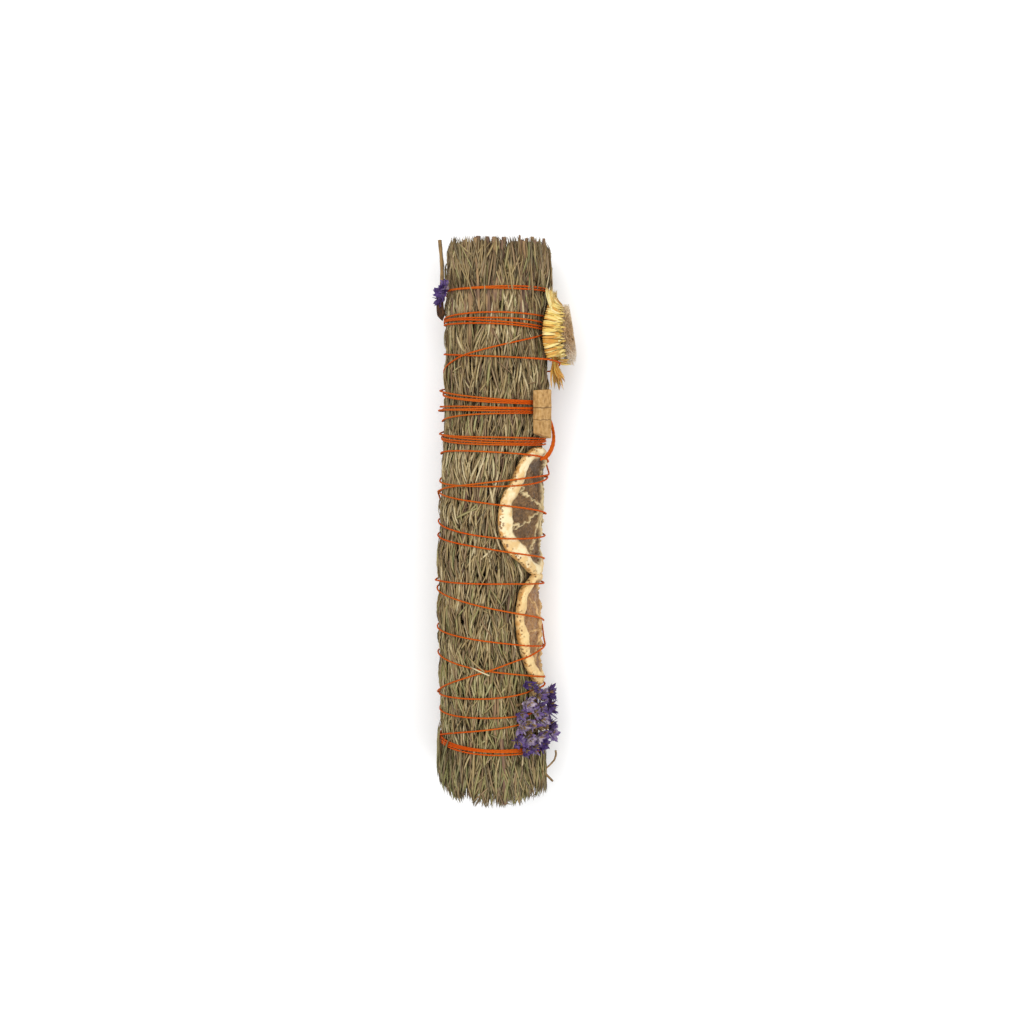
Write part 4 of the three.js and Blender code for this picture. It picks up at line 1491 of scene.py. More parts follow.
@dataclass(frozen=True)
class CottonFinish:
    """Orange-brown cotton thread of two plies, with a soft sheen, paler worn places, and painted shade and
    highlight across the plies.
    """

    shadow: str = "922c02"
    full: str = "c44b00"
    painted_highlight: str = "d25e06"
    worn: str = "b8621a"

    def material(self) -> bpy.types.Material:
        """The finish as a material that reads the wear and the place across the plies, for painted shade in
        their groove and painted highlight on their crowns.

        Returns:
            The material.
        """
        recipe = Recipe("orange_cotton", roughness=0.75, specular=0.1)
        recipe.shader.inputs["Sheen Weight"].default_value = 0.02
        ply_relief_and_shade = recipe.sum("ABSOLUTE", recipe.mark("across"))
        fibre = recipe.noise(0.16, detail=3.0)
        # Painted shade in the groove between the plies, painted highlight on their crowns.
        paint = recipe.ramp(
            recipe.plus(recipe.times(ply_relief_and_shade, 0.5), recipe.times(fibre, 0.5)),
            (0.22, self.shadow),
            (0.5, self.full),
            (0.95, self.painted_highlight),
        )
        paint = recipe.mixed(recipe.mark("worn"), paint, self.worn)
        recipe.painted(paint).raised(ply_relief_and_shade, 0.05, 0.5).raised(fibre, 0.04, 0.6)
        return recipe.material


@dataclass
class Thread:
    """The binding thread: two plies twisted together, and a loop beside the chip."""

    winding: Winding
    sides: int = 8
    spacing: float = 2.0
    ply_turn: float = 3.6
    half_wide: float = 0.37
    half_thick: float = 0.32
    loop_strands: tuple[float, ...] = (0.0, 0.8, -0.7)

    def strand(self, path: Numbers) -> Batch:
        """One twisted strand.

        Args:
            path: the places that its middle goes by.

        Returns:
            The strand, with a mark where it is worn.
        """
        steps = np.linalg.norm(np.diff(path, axis=0), axis=1)
        length = np.concatenate([[0.0], np.cumsum(steps)])
        LOG.info("thread strand: %.0f mm", length[-1])
        centres = path[None]
        wide, thick = frames(centres, outward_at(centres), np.zeros(1))
        turn = (2.0 * math.pi * length / self.ply_turn)[None, :, None]
        across = wide * np.cos(turn) + thick * np.sin(turn)
        through = thick * np.cos(turn) - wide * np.sin(turn)
        rod = Rod(sides=self.sides, rings=len(path))
        batch = rod.swept(centres, across * self.half_wide, through * self.half_thick)
        worn = 0.5 + 0.35 * ripple(batch.places, 26.0, seed=41)
        return batch.mark("worn", np.clip(worn - 0.15, 0.0, 1.0) * 0.7)

    def loop(self, aside: float) -> Numbers:
        """A bow beside the chip's lower end.

        Args:
            aside: how far it is moved outward and along the bundle.

        Returns:
            The places that it goes by.
        """
        corners = np.array(
            [
                around(56.0, 20.6, 43.0),
                around(66.0, 22.6, 40.0 + aside),
                around(73.0, 23.5 + 0.4 * aside, 35.5),
                around(75.0, 24.0 + 0.5 * aside, 31.0 - aside),
                around(72.0, 23.2 + 0.3 * aside, 27.0 - aside),
                around(66.0, 22.0, 24.4 - aside),
                around(58.0, 21.3, 24.0 + 0.5 * aside),
            ]
        )
        return eased_route(corners, np.linspace(0.0, 1.0, 60), rounds=30)

    def build(self) -> None:
        """Makes the thread and puts it in the place of its node."""
        batches = [self.strand(self.winding.path(self.spacing))]
        batches += [self.strand(self.loop(aside)) for aside in self.loop_strands]
        part = Part("binding_thread_plies", ("binding_thread",), "orange_thread")
        assembled(part, batches, [CottonFinish().material()])


@dataclass(frozen=True)
class CitrusFinish:
    """A dried citrus slice: a thin speckled peel, cream pith and brown dried pulp."""

    name: str
    deep_pulp: str
    pulp: str
    bright_pulp: str
    membrane: str
    peel: str = "b98543"
    pale_peel: str = "dcb77a"
    pore: str = "6e451d"
    pith: str = "e3d2a8"
    stain: str = "d3b27a"

    def material(self) -> bpy.types.Material:
        """The finish as a material that reads where the rim, the pith and the membranes are, and where the
        pulp sinks, which it darkens as painted shade.

        Returns:
            The material.
        """
        recipe = Recipe(self.name, roughness=0.55, specular=0.35)
        fleck = recipe.noise(0.9, detail=4.0, distortion=0.6)
        patch = recipe.noise(4.0, detail=3.0)
        spot = recipe.noise(1.5, detail=2.0)
        grain = recipe.times(fleck, 0.6)
        grain = recipe.plus(grain, recipe.times(patch, 0.4))
        pulp = recipe.ramp(grain, (0.34, self.deep_pulp), (0.5, self.pulp), (0.68, self.bright_pulp))
        # Painted shade: the pulp darkens where it sinks deepest between the membranes.
        pulp = recipe.mixed(recipe.mark("sunk_pulp_shade"), pulp, self.deep_pulp)
        pith = recipe.mixed(recipe.eased(patch, 0.42, 0.62), self.pith, self.stain)
        pith = recipe.mixed(recipe.times(recipe.eased(spot, 0.6, 0.7), 0.5), pith, self.stain)
        rim = recipe.mark("rim")
        uneven = recipe.about(spot, 0.7)
        edge = recipe.eased(recipe.plus(rim, uneven), 0.76, 0.92)
        pores = recipe.eased(recipe.cells(1.3), 0.42, 0.24)
        outer = recipe.eased(rim, 0.52, 0.74)
        shown = recipe.times(recipe.times(pores, outer), 0.85)
        peel = recipe.mixed(recipe.eased(patch, 0.4, 0.62), self.peel, self.pale_peel)
        body = recipe.mixed(edge, pith, peel)
        body = recipe.mixed(shown, body, self.pore)
        wall = recipe.mixed(recipe.eased(rim, 0.02, 0.0), body, self.membrane)
        paint = recipe.mixed(recipe.mark("pith"), pulp, wall)
        recipe.painted(paint).raised(fleck, 0.25, 0.6).raised(spot, 0.3, 0.5)
        recipe.raised(shown, -0.25, 0.8)
        recipe.shone(recipe.mark("pith"), 0.45, 0.7)
        return recipe.material


@dataclass
class CitrusSlice:
    """A dried slice that has shrunk and curled onto the bundle.

    Attributes:
        name: the node that it replaces.
        size: its place and sizes.
        seed: chooses its unevenness.
        segments: how many segments of pulp it has.
    """

    name: str
    size: SliceSize
    seed: int
    segments: int = 8
    steps: int = 240
    under_rings: int = 10
    rim_rings: int = 8
    top_rings: int = 56
    pulp_floor: float = 1.35
    membrane: float = 0.85
    membrane_width: float = 0.44
    sag_run: float = 1.6
    least: float = 0.35

    def disc(self) -> bmesh.types.BMesh:
        """A round slab of radius 1, spun from its outline, its heights in millimetres.

        Returns:
            The slab.
        """
        top = self.size.thickness
        outline = [(share, 0.0) for share in np.linspace(0.0, 0.96, self.under_rings)]
        for k in range(self.rim_rings):
            turn = -math.pi / 2.0 + math.pi * (k + 0.5) / self.rim_rings
            outline.append((0.975 + 0.025 * math.cos(turn), top / 2.0 * (1.0 + math.sin(turn))))
        outline += [(share, top) for share in np.linspace(0.965, 0.0, self.top_rings)]
        return spun(outline, self.steps)

    def build(self, finish: bpy.types.Material) -> None:
        """Makes the slice and puts it in the place of its node.

        Args:
            finish: its material.
        """
        shape = self.disc()
        flat = np.array([vert.co for vert in shape.verts])
        share = np.hypot(flat[:, 0], flat[:, 1])
        turn = np.arctan2(flat[:, 0], flat[:, 1])
        height = flat[:, 2].copy()
        size = self.size
        chance = np.random.default_rng(self.seed)
        edge = size.follow(size.edge, turn)
        around_ring = np.stack([np.cos(turn), np.sin(turn)], axis=1)
        spot = np.stack([flat[:, 0] * size.across, flat[:, 1] * size.along], axis=1)
        wave = edge * (1.0 + 0.009 * ripple(around_ring, 0.7, seed=self.seed))
        pulp_edge = size.follow(size.pulp, turn) / edge
        pulp_edge = pulp_edge * (1.0 + 0.02 * ripple(around_ring, 0.4, seed=self.seed + 1))
        even = np.arange(self.segments) * 2.0 * math.pi / self.segments
        walls = even + chance.uniform(-0.2, 0.2, size=self.segments)
        bowed = turn + 0.34 * np.sin(share * 4.2 + self.seed) * share
        bowed = bowed + 0.07 * ripple(spot, 3.0, seed=self.seed + 6)
        apart = np.abs((bowed[:, None] - walls[None, :] + math.pi) % (2.0 * math.pi) - math.pi)
        nearest = apart.argmin(axis=1)
        away = apart.min(axis=1) * share * (size.across + size.along) / 2.0
        hub = smoothed(0.13, 0.05, share)
        wall = np.maximum(np.exp(-((away / self.membrane_width) ** 2)), hub)
        on_top = flat[:, 2] > size.thickness - 0.01
        in_pulp = smoothed(0.0, 0.035, pulp_edge - share) * on_top
        sunk = np.clip(away / self.sag_run, 0.0, 1.0) * smoothed(0.0, 0.1, pulp_edge - share)
        deep = chance.uniform(0.1, 0.7, size=self.segments)
        juice = ripple(np.stack([bowed * 9.0, share * 5.0], axis=1), 1.5, seed=self.seed + 2)
        floor = self.pulp_floor - deep[nearest] * sunk + 0.22 * juice
        floor = np.maximum(floor + 0.2 * ripple(spot, 2.2, seed=self.seed + 7), self.least)
        ridge = floor + (self.membrane + 0.15 * juice) * wall
        height = height * (1.0 - in_pulp) + ridge * in_pulp
        rim = np.clip((share - pulp_edge) / (1.0 - pulp_edge), 0.0, 1.0)
        rounded = 0.75 * np.sin(math.pi * np.clip(rim, 0.0, 0.98)) ** 0.8 - 0.45
        lumps = 0.14 * ripple(spot, 2.4, seed=self.seed + 3) + 0.06 * ripple(spot, 0.9, seed=self.seed + 4)
        height += on_top * (1.0 - in_pulp) * (rounded + lumps)
        below = np.where(on_top, 1.0, np.clip(flat[:, 2] / size.thickness, 0.0, 1.0))
        places = np.stack(
            [
                flat[:, 0] * size.across * wave * size.inside / (size.inside + size.thickness / 2.0),
                flat[:, 1] * size.along * wave,
                height + 0.3 * below * share**3 * ripple(around_ring, 0.8, seed=self.seed + 5),
            ],
            axis=1,
        )
        bent = Bend(size.angle, size.y, size.inside).bent(places)
        batch = Batch(shape, bent[None])
        pale = np.maximum(1.0 - in_pulp, np.clip(wall * 1.4 - 0.2, 0.0, 1.0) * 0.9)
        batch.mark("pith", pale[None]).mark("rim", (rim * (1.0 - in_pulp))[None])
        # Painted shade for the sunken pulp, deepest between the membranes and away from them.
        batch.mark("sunk_pulp_shade", (in_pulp * sunk * deep[nearest] * (1.0 - wall))[None])
        part = Part(f"{self.name}_dried", (self.name,), "dried_citrus")
        assembled(part, [batch], [finish])


@dataclass(frozen=True)
class BractFinish:
    """Papery bracts: pale yellow, golden toward the base and the tie, with fine lines."""

    pale: str = "f1e09c"
    yellow: str = "e6ca6c"
    gold: str = "cd8d34"
    brown: str = "7d4f28"

    def material(self) -> bpy.types.Material:
        """The finish as a material that reads each bract's age and the way along it.

        Returns:
            The material.
        """
        recipe = Recipe("papery_bracts", roughness=0.4, specular=0.4)
        shader = recipe.shader.inputs
        shader["Subsurface Weight"].default_value = 0.1
        shader["Subsurface Radius"].default_value = (0.002, 0.0014, 0.0006)
        along = recipe.mark("along")
        lines = recipe.sum("SINE", recipe.times(recipe.mark("spread"), 15.0))
        patch = recipe.noise(1.6, detail=3.0)
        age = recipe.plus(recipe.mark("tone"), recipe.times(patch, 0.3))
        stops = ((0.15, self.pale), (0.42, self.yellow), (0.72, self.gold), (1.0, self.brown))
        paint = recipe.ramp(age, *stops)
        base = recipe.eased(along, 0.42, 0.08)
        paint = recipe.mixed(recipe.times(base, 0.45), paint, self.gold)
        tip = recipe.eased(along, 0.86, 1.0)
        paint = recipe.mixed(recipe.times(tip, 0.4), paint, self.gold)
        line = recipe.eased(lines, 0.1, 1.0)
        paint = recipe.mixed(recipe.times(line, 0.3), paint, self.gold)
        recipe.painted(paint).raised(lines, 0.08, 0.7)
        return recipe.material


@dataclass(frozen=True)
class FluffFinish:
    """The flower's fluffy middle: grey-brown down with white tips at its lower right."""

    deep: str = "6e4f30"
    beige: str = "bb9464"
    light: str = "e2caa0"
    white: str = "f1ebe2"

    def material(self) -> bpy.types.Material:
        """The finish as a material that reads each hair's tone, its age and the way along it.

        Returns:
            The material.
        """
        recipe = Recipe("fluffy_bristles", roughness=0.85, specular=0.15)
        recipe.shader.inputs["Sheen Weight"].default_value = 0.1
        share = recipe.times(recipe.mark("along"), 0.7)
        share = recipe.plus(share, recipe.times(recipe.mark("tone"), 0.6))
        paint = recipe.ramp(share, (0.1, self.deep), (0.45, self.beige), (1.0, self.light))
        recipe.painted(recipe.mixed(recipe.mark("worn"), paint, self.white))
        return recipe.material


@dataclass(frozen=True)
class Fan:
    """A ring of bracts round the flower's middle, between two directions.

    Attributes:
        count: how many bracts there are.
        sector: the first and last direction, in degrees from +X toward +Y.
        start: how far from the middle the bracts begin, and how high.
        end: how far from the middle they end, and how high.
        belly: how far they bow outward between the two.
        half_width: the least and greatest half width.
        tone: the least and greatest age.
        middle: where the bracts spread from.
    """

    count: int
    sector: tuple[float, float]
    start: tuple[float, float]
    end: tuple[float, float]
    belly: float
    half_width: tuple[float, float]
    tone: tuple[float, float]
    middle: tuple[float, float] = (0.0, 0.0)

    def bracts(self, blade: Rod, chance: np.random.Generator) -> Batch:
        """The bracts as one batch, still flat, with +Z as the flower's face.

        Args:
            blade: the rod that each bract is made from.
            chance: the random numbers.

        Returns:
            The bracts, with marks for the way along and across and for the age.
        """
        count, rings = self.count, blade.rings
        step = (np.arange(count) + 0.5 + chance.uniform(-0.35, 0.35, size=count)) / count
        turn = np.radians(self.sector[0] + (self.sector[1] - self.sector[0]) * step)
        share = np.linspace(0.0, 1.0, rings)[None, :]
        reach = self.end[0] + chance.uniform(-0.7, 0.7, size=(count, 1))
        top = self.end[1] + chance.uniform(-0.8, 0.5, size=(count, 1))
        bow = self.belly * np.sin(math.pi * share)
        out = self.start[0] + (reach - self.start[0]) * share + bow
        up = self.start[1] + (top - self.start[1]) * share**1.1
        sway = chance.normal(0.0, 0.45, size=(count, 1)) * share**2
        flat = np.stack([np.cos(turn), np.sin(turn), 0.0 * turn], axis=1)[:, None]
        across = np.stack([-np.sin(turn), np.cos(turn), 0.0 * turn], axis=1)[:, None]
        raised = np.array([0.0, 0.0, 1.0])
        centres = flat * out[..., None] + across * sway[..., None] + raised * up[..., None]
        centres = centres + np.array([*self.middle, 0.0])
        ahead = unit(np.gradient(centres, axis=1))
        face = unit(np.cross(ahead, np.broadcast_to(across, ahead.shape)))
        profile = np.interp(share[0], [0, 0.12, 0.5, 0.75, 0.9, 1.0], [0.5, 0.7, 1.0, 0.85, 0.5, 0.0])
        half = chance.uniform(*self.half_width, size=(count, 1, 1))
        tilt = chance.normal(0.0, 0.3, size=(count, 1, 1))
        side = np.cos(tilt) * across + np.sin(tilt) * face
        wide = side * half * profile[None, :, None]
        batch = blade.swept(centres, wide, face * 0.08)
        spread = batch.marks["across"]
        shape = np.interp(batch.marks["along"], share[0], profile)
        crinkle = 0.06 * np.sin(spread * 7.0 + chance.uniform(0.0, 6.0, size=(count, 1)))
        cup = chance.uniform(0.05, 0.3, size=(count, 1)) * spread**2
        ring = np.round(batch.marks["along"] * (rings - 1)).astype(int)
        facing = np.take_along_axis(face, ring[..., None], axis=1)
        batch.places = batch.places + facing * ((cup + crinkle) * shape)[..., None]
        batch.mark("spread", spread * half[:, 0] + chance.uniform(0.0, 9.0, size=(count, 1)))
        return batch.mark("tone", chance.uniform(*self.tone, size=count))


@dataclass
class Strawflower:
    """The strawflower at the bundle's side: bracts round it, a tied bunch, and its fluffy disc."""

    hair_count: int = 5200
    bunch_count: int = 60
    tie_y: float = -10.6
    tie_run: float = 3.6
    lean: float = 2.8
    blade: Rod = field(default_factory=lambda: Rod(sides=10, rings=10))
    hair: Rod = field(default_factory=lambda: Rod(sides=3, rings=5))
    fans: tuple[Fan, ...] = (
        Fan(22, (-35.0, 215.0), (4.5, 0.7), (15.6, 1.3), 0.0, (1.3, 2.0), (0.55, 1.0)),
        Fan(80, (-38.0, 216.0), (15.6, 0.5), (11.8, 5.4), 1.0, (0.5, 0.75), (0.0, 0.6)),
        Fan(80, (-40.0, 220.0), (13.2, 0.9), (11.4, 6.3), 0.9, (0.46, 0.7), (0.0, 0.5)),
        Fan(60, (0.0, 360.0), (10.4, 1.2), (10.6, 6.8), 0.6, (0.4, 0.6), (0.0, 0.5)),
        Fan(30, (70.0, 130.0), (8.0, 1.6), (16.8, 3.2), 0.0, (0.45, 0.7), (0.0, 0.5)),
        Fan(50, (58.0, 100.0), (0.5, 2.6), (17.4, 2.6), 1.0, (0.45, 0.75), (0.0, 0.45), (-10.5, -0.5)),
        Fan(44, (-84.0, -24.0), (0.5, 2.2), (12.6, 5.0), 1.2, (0.45, 0.75), (0.0, 0.45), (-11.5, 3.0)),
        Fan(14, (-24.0, 24.0), (5.0, 0.9), (20.6, 0.9), 0.0, (1.2, 1.9), (0.4, 0.9)),
    )

    def bunch(self, chance: np.random.Generator) -> Batch:
        """The bracts that the thread pulls together at the flower's lower end.

        Args:
            chance: the random numbers.

        Returns:
            The bracts, still flat.
        """
        count = self.bunch_count
        share = np.linspace(0.0, 1.0, self.blade.rings)[None, :]
        lane = chance.uniform(-1.0, 1.0, size=(count, 1))
        start_x = -1.5 + 9.5 * lane
        tied_x = -1.5 + 4.6 * lane
        end_x = -2.5 + 8.0 * lane + chance.normal(0.0, 0.8, size=(count, 1))
        long = chance.uniform(13.5, 21.2, size=(count, 1))
        y = -4.0 + (4.0 - long) * share
        tied = np.exp(-(((y - self.tie_y) / self.tie_run) ** 2))
        x = start_x + (end_x - start_x) * share
        x = x + (tied_x - x) * tied * 0.85
        layer = chance.uniform(0.0, 1.0, size=(count, 1))
        open_up = 0.6 + 5.0 * layer * np.clip(share - 0.35, 0.0, 1.0) / 0.65
        up = open_up + (0.5 + 0.9 * layer - open_up) * tied
        centres = np.stack([x, y, up], axis=2)
        ahead = unit(np.gradient(centres, axis=1))
        across = unit(np.cross(np.broadcast_to([0.0, 0.0, 1.0], ahead.shape), ahead))
        face = np.cross(ahead, across)
        tilt = chance.normal(0.0, 0.7, size=(count, 1, 1))
        profile = np.interp(share[0], [0, 0.15, 0.5, 0.8, 0.93, 1.0], [0.4, 0.8, 1.0, 0.9, 0.5, 0.0])
        half = chance.uniform(0.4, 0.75, size=(count, 1, 1))
        side = np.cos(tilt) * across + np.sin(tilt) * face
        batch = self.blade.swept(centres, side * half * profile[None, :, None], face * 0.09)
        batch.places[..., 2] = np.maximum(batch.places[..., 2], 0.25)
        spread = batch.marks["across"] * half[:, 0] + chance.uniform(0.0, 9.0, size=(count, 1))
        return batch.mark("spread", spread).mark("tone", chance.uniform(0.25, 0.8, size=count))

    def receptacle(self) -> Batch:
        """The flat round base that holds the bracts.

        Returns:
            The base as a batch of one.
        """
        rings = 8
        centres, wide, thick = np.zeros((3, 1, rings, 3))
        centres[0, :, 2] = np.linspace(0.05, 2.0, rings)
        outline = ((0.0, 0.0), (0.14, 5.2), (0.5, 6.2), (0.86, 5.4), (1.0, 0.0))
        shares, radii = np.array(outline).T
        wide[0, :, 0] = np.interp(np.linspace(0.0, 1.0, rings), shares, radii)
        thick[0, :, 1] = wide[0, :, 0]
        base = Rod(sides=32, rings=rings).swept(centres, wide, thick)
        return base.mark("tone", np.array([0.9])).mark("spread", base.marks["across"])

    def bracts(self) -> None:
        """Makes the bracts with the receptacle that holds them."""
        chance = np.random.default_rng(71)
        batches = [fan.bracts(self.blade, chance) for fan in self.fans]
        batches += [self.bunch(chance), self.receptacle()]
        for batch in batches:
            upper_end = smoothed(5.0, 15.0, batch.places[..., 1])
            batch.places[..., 2] *= 1.0 - 0.7 * upper_end
            batch.places = FLOWER_BEND.bent(batch.places)
            batch.places[..., 2] = np.maximum(batch.places[..., 2], FLOOR)
        part = Part("strawflower_papery_bracts", ("strawflower_bracts",), "papery_bracts")
        assembled(part, batches, [BractFinish().material()])

    def dome(self) -> Batch:
        """The soft cushion that the hairs stand on.

        Returns:
            The cushion as a batch of one.
        """
        outline = ((0.0, 2.15), (3.6, 2.15), (7.6, 5.0), (9.2, 6.1), (7.8, 7.0), (4.0, 7.5), (0.0, 7.6))
        rings = 22
        where = np.linspace(0.0, 1.0, rings)
        corners = np.linspace(0.0, 1.0, len(outline))
        radius, height = (np.interp(where, corners, column) for column in np.array(outline).T)
        centres, wide, thick = np.zeros((3, 1, rings, 3))
        centres[0, :, 2] = height
        wide[0, :, 0] = radius
        thick[0, :, 1] = radius
        cushion = Rod(sides=48, rings=rings).swept(centres, wide, thick)
        cushion.places[..., 2] += 0.35 * ripple(cushion.places, 3.0, seed=73)
        return cushion.mark("tone", np.array([0.1])).mark("worn", np.array([0.0]))

    def disc(self) -> None:
        """Makes the fluffy disc: a soft dome with wispy hairs all over it."""
        chance = np.random.default_rng(72)
        dome = self.dome()
        count = self.hair_count
        spin = chance.uniform(0.0, 2.0 * math.pi, size=count)
        tall = np.sqrt(chance.uniform(0.0, 1.0, size=count))
        low = chance.random(count) < 0.5
        root_out = np.where(low, chance.uniform(6.8, 9.0, size=count), tall * 8.6)
        root_up = np.where(low, 4.4 + (root_out - 6.8) * 0.75, 7.4 - 1.2 * tall**3)
        splay = np.where(low, 1.05, 0.2 + 0.75 * tall**2) + chance.normal(0.0, 0.3, size=count)
        lower_right = np.clip(np.cos(spin + 1.75), 0.0, 1.0)
        upper = np.clip(np.cos(spin - 1.9), 0.0, 1.0) ** 3
        long = chance.uniform(0.9, 2.3, size=count) * (1.0 + 0.8 * lower_right + 1.2 * upper)
        tuft = np.sin(spin * 7.0 + root_out * 1.3) + np.sin(spin * 12.0 + 2.0)
        spin_end = spin + 0.09 * tuft + chance.normal(0.0, 0.1, size=count)
        share = np.linspace(-0.2, 1.0, self.hair.rings)[None, :]
        out = root_out[:, None] + (long * np.sin(splay))[:, None] * share
        up = root_up[:, None] + (long * np.cos(splay))[:, None] * share
        up = np.minimum(up, 8.2 + 0.5 * np.tanh(up - 8.2))
        out = np.minimum(out, 11.6 + 0.6 * np.tanh((out - 11.6) / 2.0))
        turning = spin[:, None] + (spin_end - spin)[:, None] * share
        paths = np.stack([out * np.cos(turning), out * np.sin(turning), up], axis=2)
        roll = chance.uniform(0.0, 6.0, size=count)
        level = np.zeros_like(paths)
        level[..., 0], level[..., 1] = np.cos(spin)[:, None], np.sin(spin)[:, None]
        wide, thick = frames(paths, level + 0.01, roll)
        profile = np.array([0.0, 1.0, 0.85, 0.55, 0.0])
        half = chance.uniform(0.06, 0.13, size=(count, 1, 1)) * profile[None, :, None]
        fluff = self.hair.swept(paths, wide * half, thick * half)
        centre = np.exp(-(((root_out * np.sin(spin) + 0.5) / 4.0) ** 2))
        fluff.mark("tone", chance.uniform(0.1, 1.0, size=count) * (1.0 - 0.6 * centre))
        white = np.clip(lower_right * 1.3 - 0.25 + 0.5 * upper, 0.0, 1.0)
        pale = white * chance.uniform(0.3, 1.0, size=count) * (1.0 - centre)
        along = fluff.marks["along"]
        fluff.mark("worn", pale[:, None] * (0.25 + 0.75 * along))
        for batch in (dome, fluff):
            upper_end = np.clip(batch.places[..., 1] + 7.0, 0.0, 17.0) / 17.0
            batch.places[..., 2] -= self.lean * upper_end * np.clip(batch.places[..., 2] / 8.0, 0.0, 1.0)
            batch.places = FLOWER_BEND.bent(batch.places)
        part = Part("strawflower_fluffy_disc", ("strawflower_disc",), "fluffy_disc")
        assembled(part, [dome, fluff], [FluffFinish().material()])

    def build(self) -> None:
        """Makes both pieces of the flower."""
        self.bracts()
        self.disc()


@dataclass(frozen=True)
class StaticeFinish:
    """Papery sea lavender blooms: violet at the rim, fading to lilac-white at the throat."""

    deep: str = "462f68"
    violet: str = "665083"
    lilac: str = "8b7a92"
    white: str = "c8bac0"
    brown: str = "5d4330"

    def material(self) -> bpy.types.Material:
        """The finish as a material that reads the way from throat to rim.

        Returns:
            The material.
        """
        recipe = Recipe("papery_blooms", roughness=0.6, specular=0.3)
        recipe.shader.inputs["Subsurface Weight"].default_value = 0.1
        recipe.shader.inputs["Subsurface Radius"].default_value = (0.001, 0.0008, 0.001)
        rim = recipe.mark("rim")
        fleck = recipe.noise(1.4, detail=3.0)
        tone = recipe.plus(recipe.times(rim, 0.55), recipe.mark("tone"))
        tone = recipe.plus(tone, recipe.about(fleck, 1.3))
        tone = recipe.times(tone, 0.7)
        stops = ((0.1, self.brown), (0.28, self.white), (0.48, self.lilac), (0.68, self.violet))
        paint = recipe.ramp(tone, *stops, (0.92, self.deep))
        veins = recipe.sum("SINE", recipe.times(recipe.mark("round"), 60.0))
        vein = recipe.eased(veins, 0.3, 1.0)
        paint = recipe.mixed(recipe.times(vein, 0.3), paint, self.deep)
        recipe.painted(paint).raised(veins, 0.05, 0.5)
        return recipe.material


@dataclass(frozen=True)
class Floret:
    """One papery bloom.

    Attributes:
        angle: its place round the bundle.
        y: its place along the bundle.
        out: the distance of its foot from the axis.
        tip_across: how far it tips over round the bundle, in degrees.
        tip_along: how far it tips over along it.
        tone: how violet it is.
    """

    angle: float
    y: float
    out: float
    radius: float = 3.3
    tip_across: float = 0.0
    tip_along: float = 0.0
    tone: float = 0.3


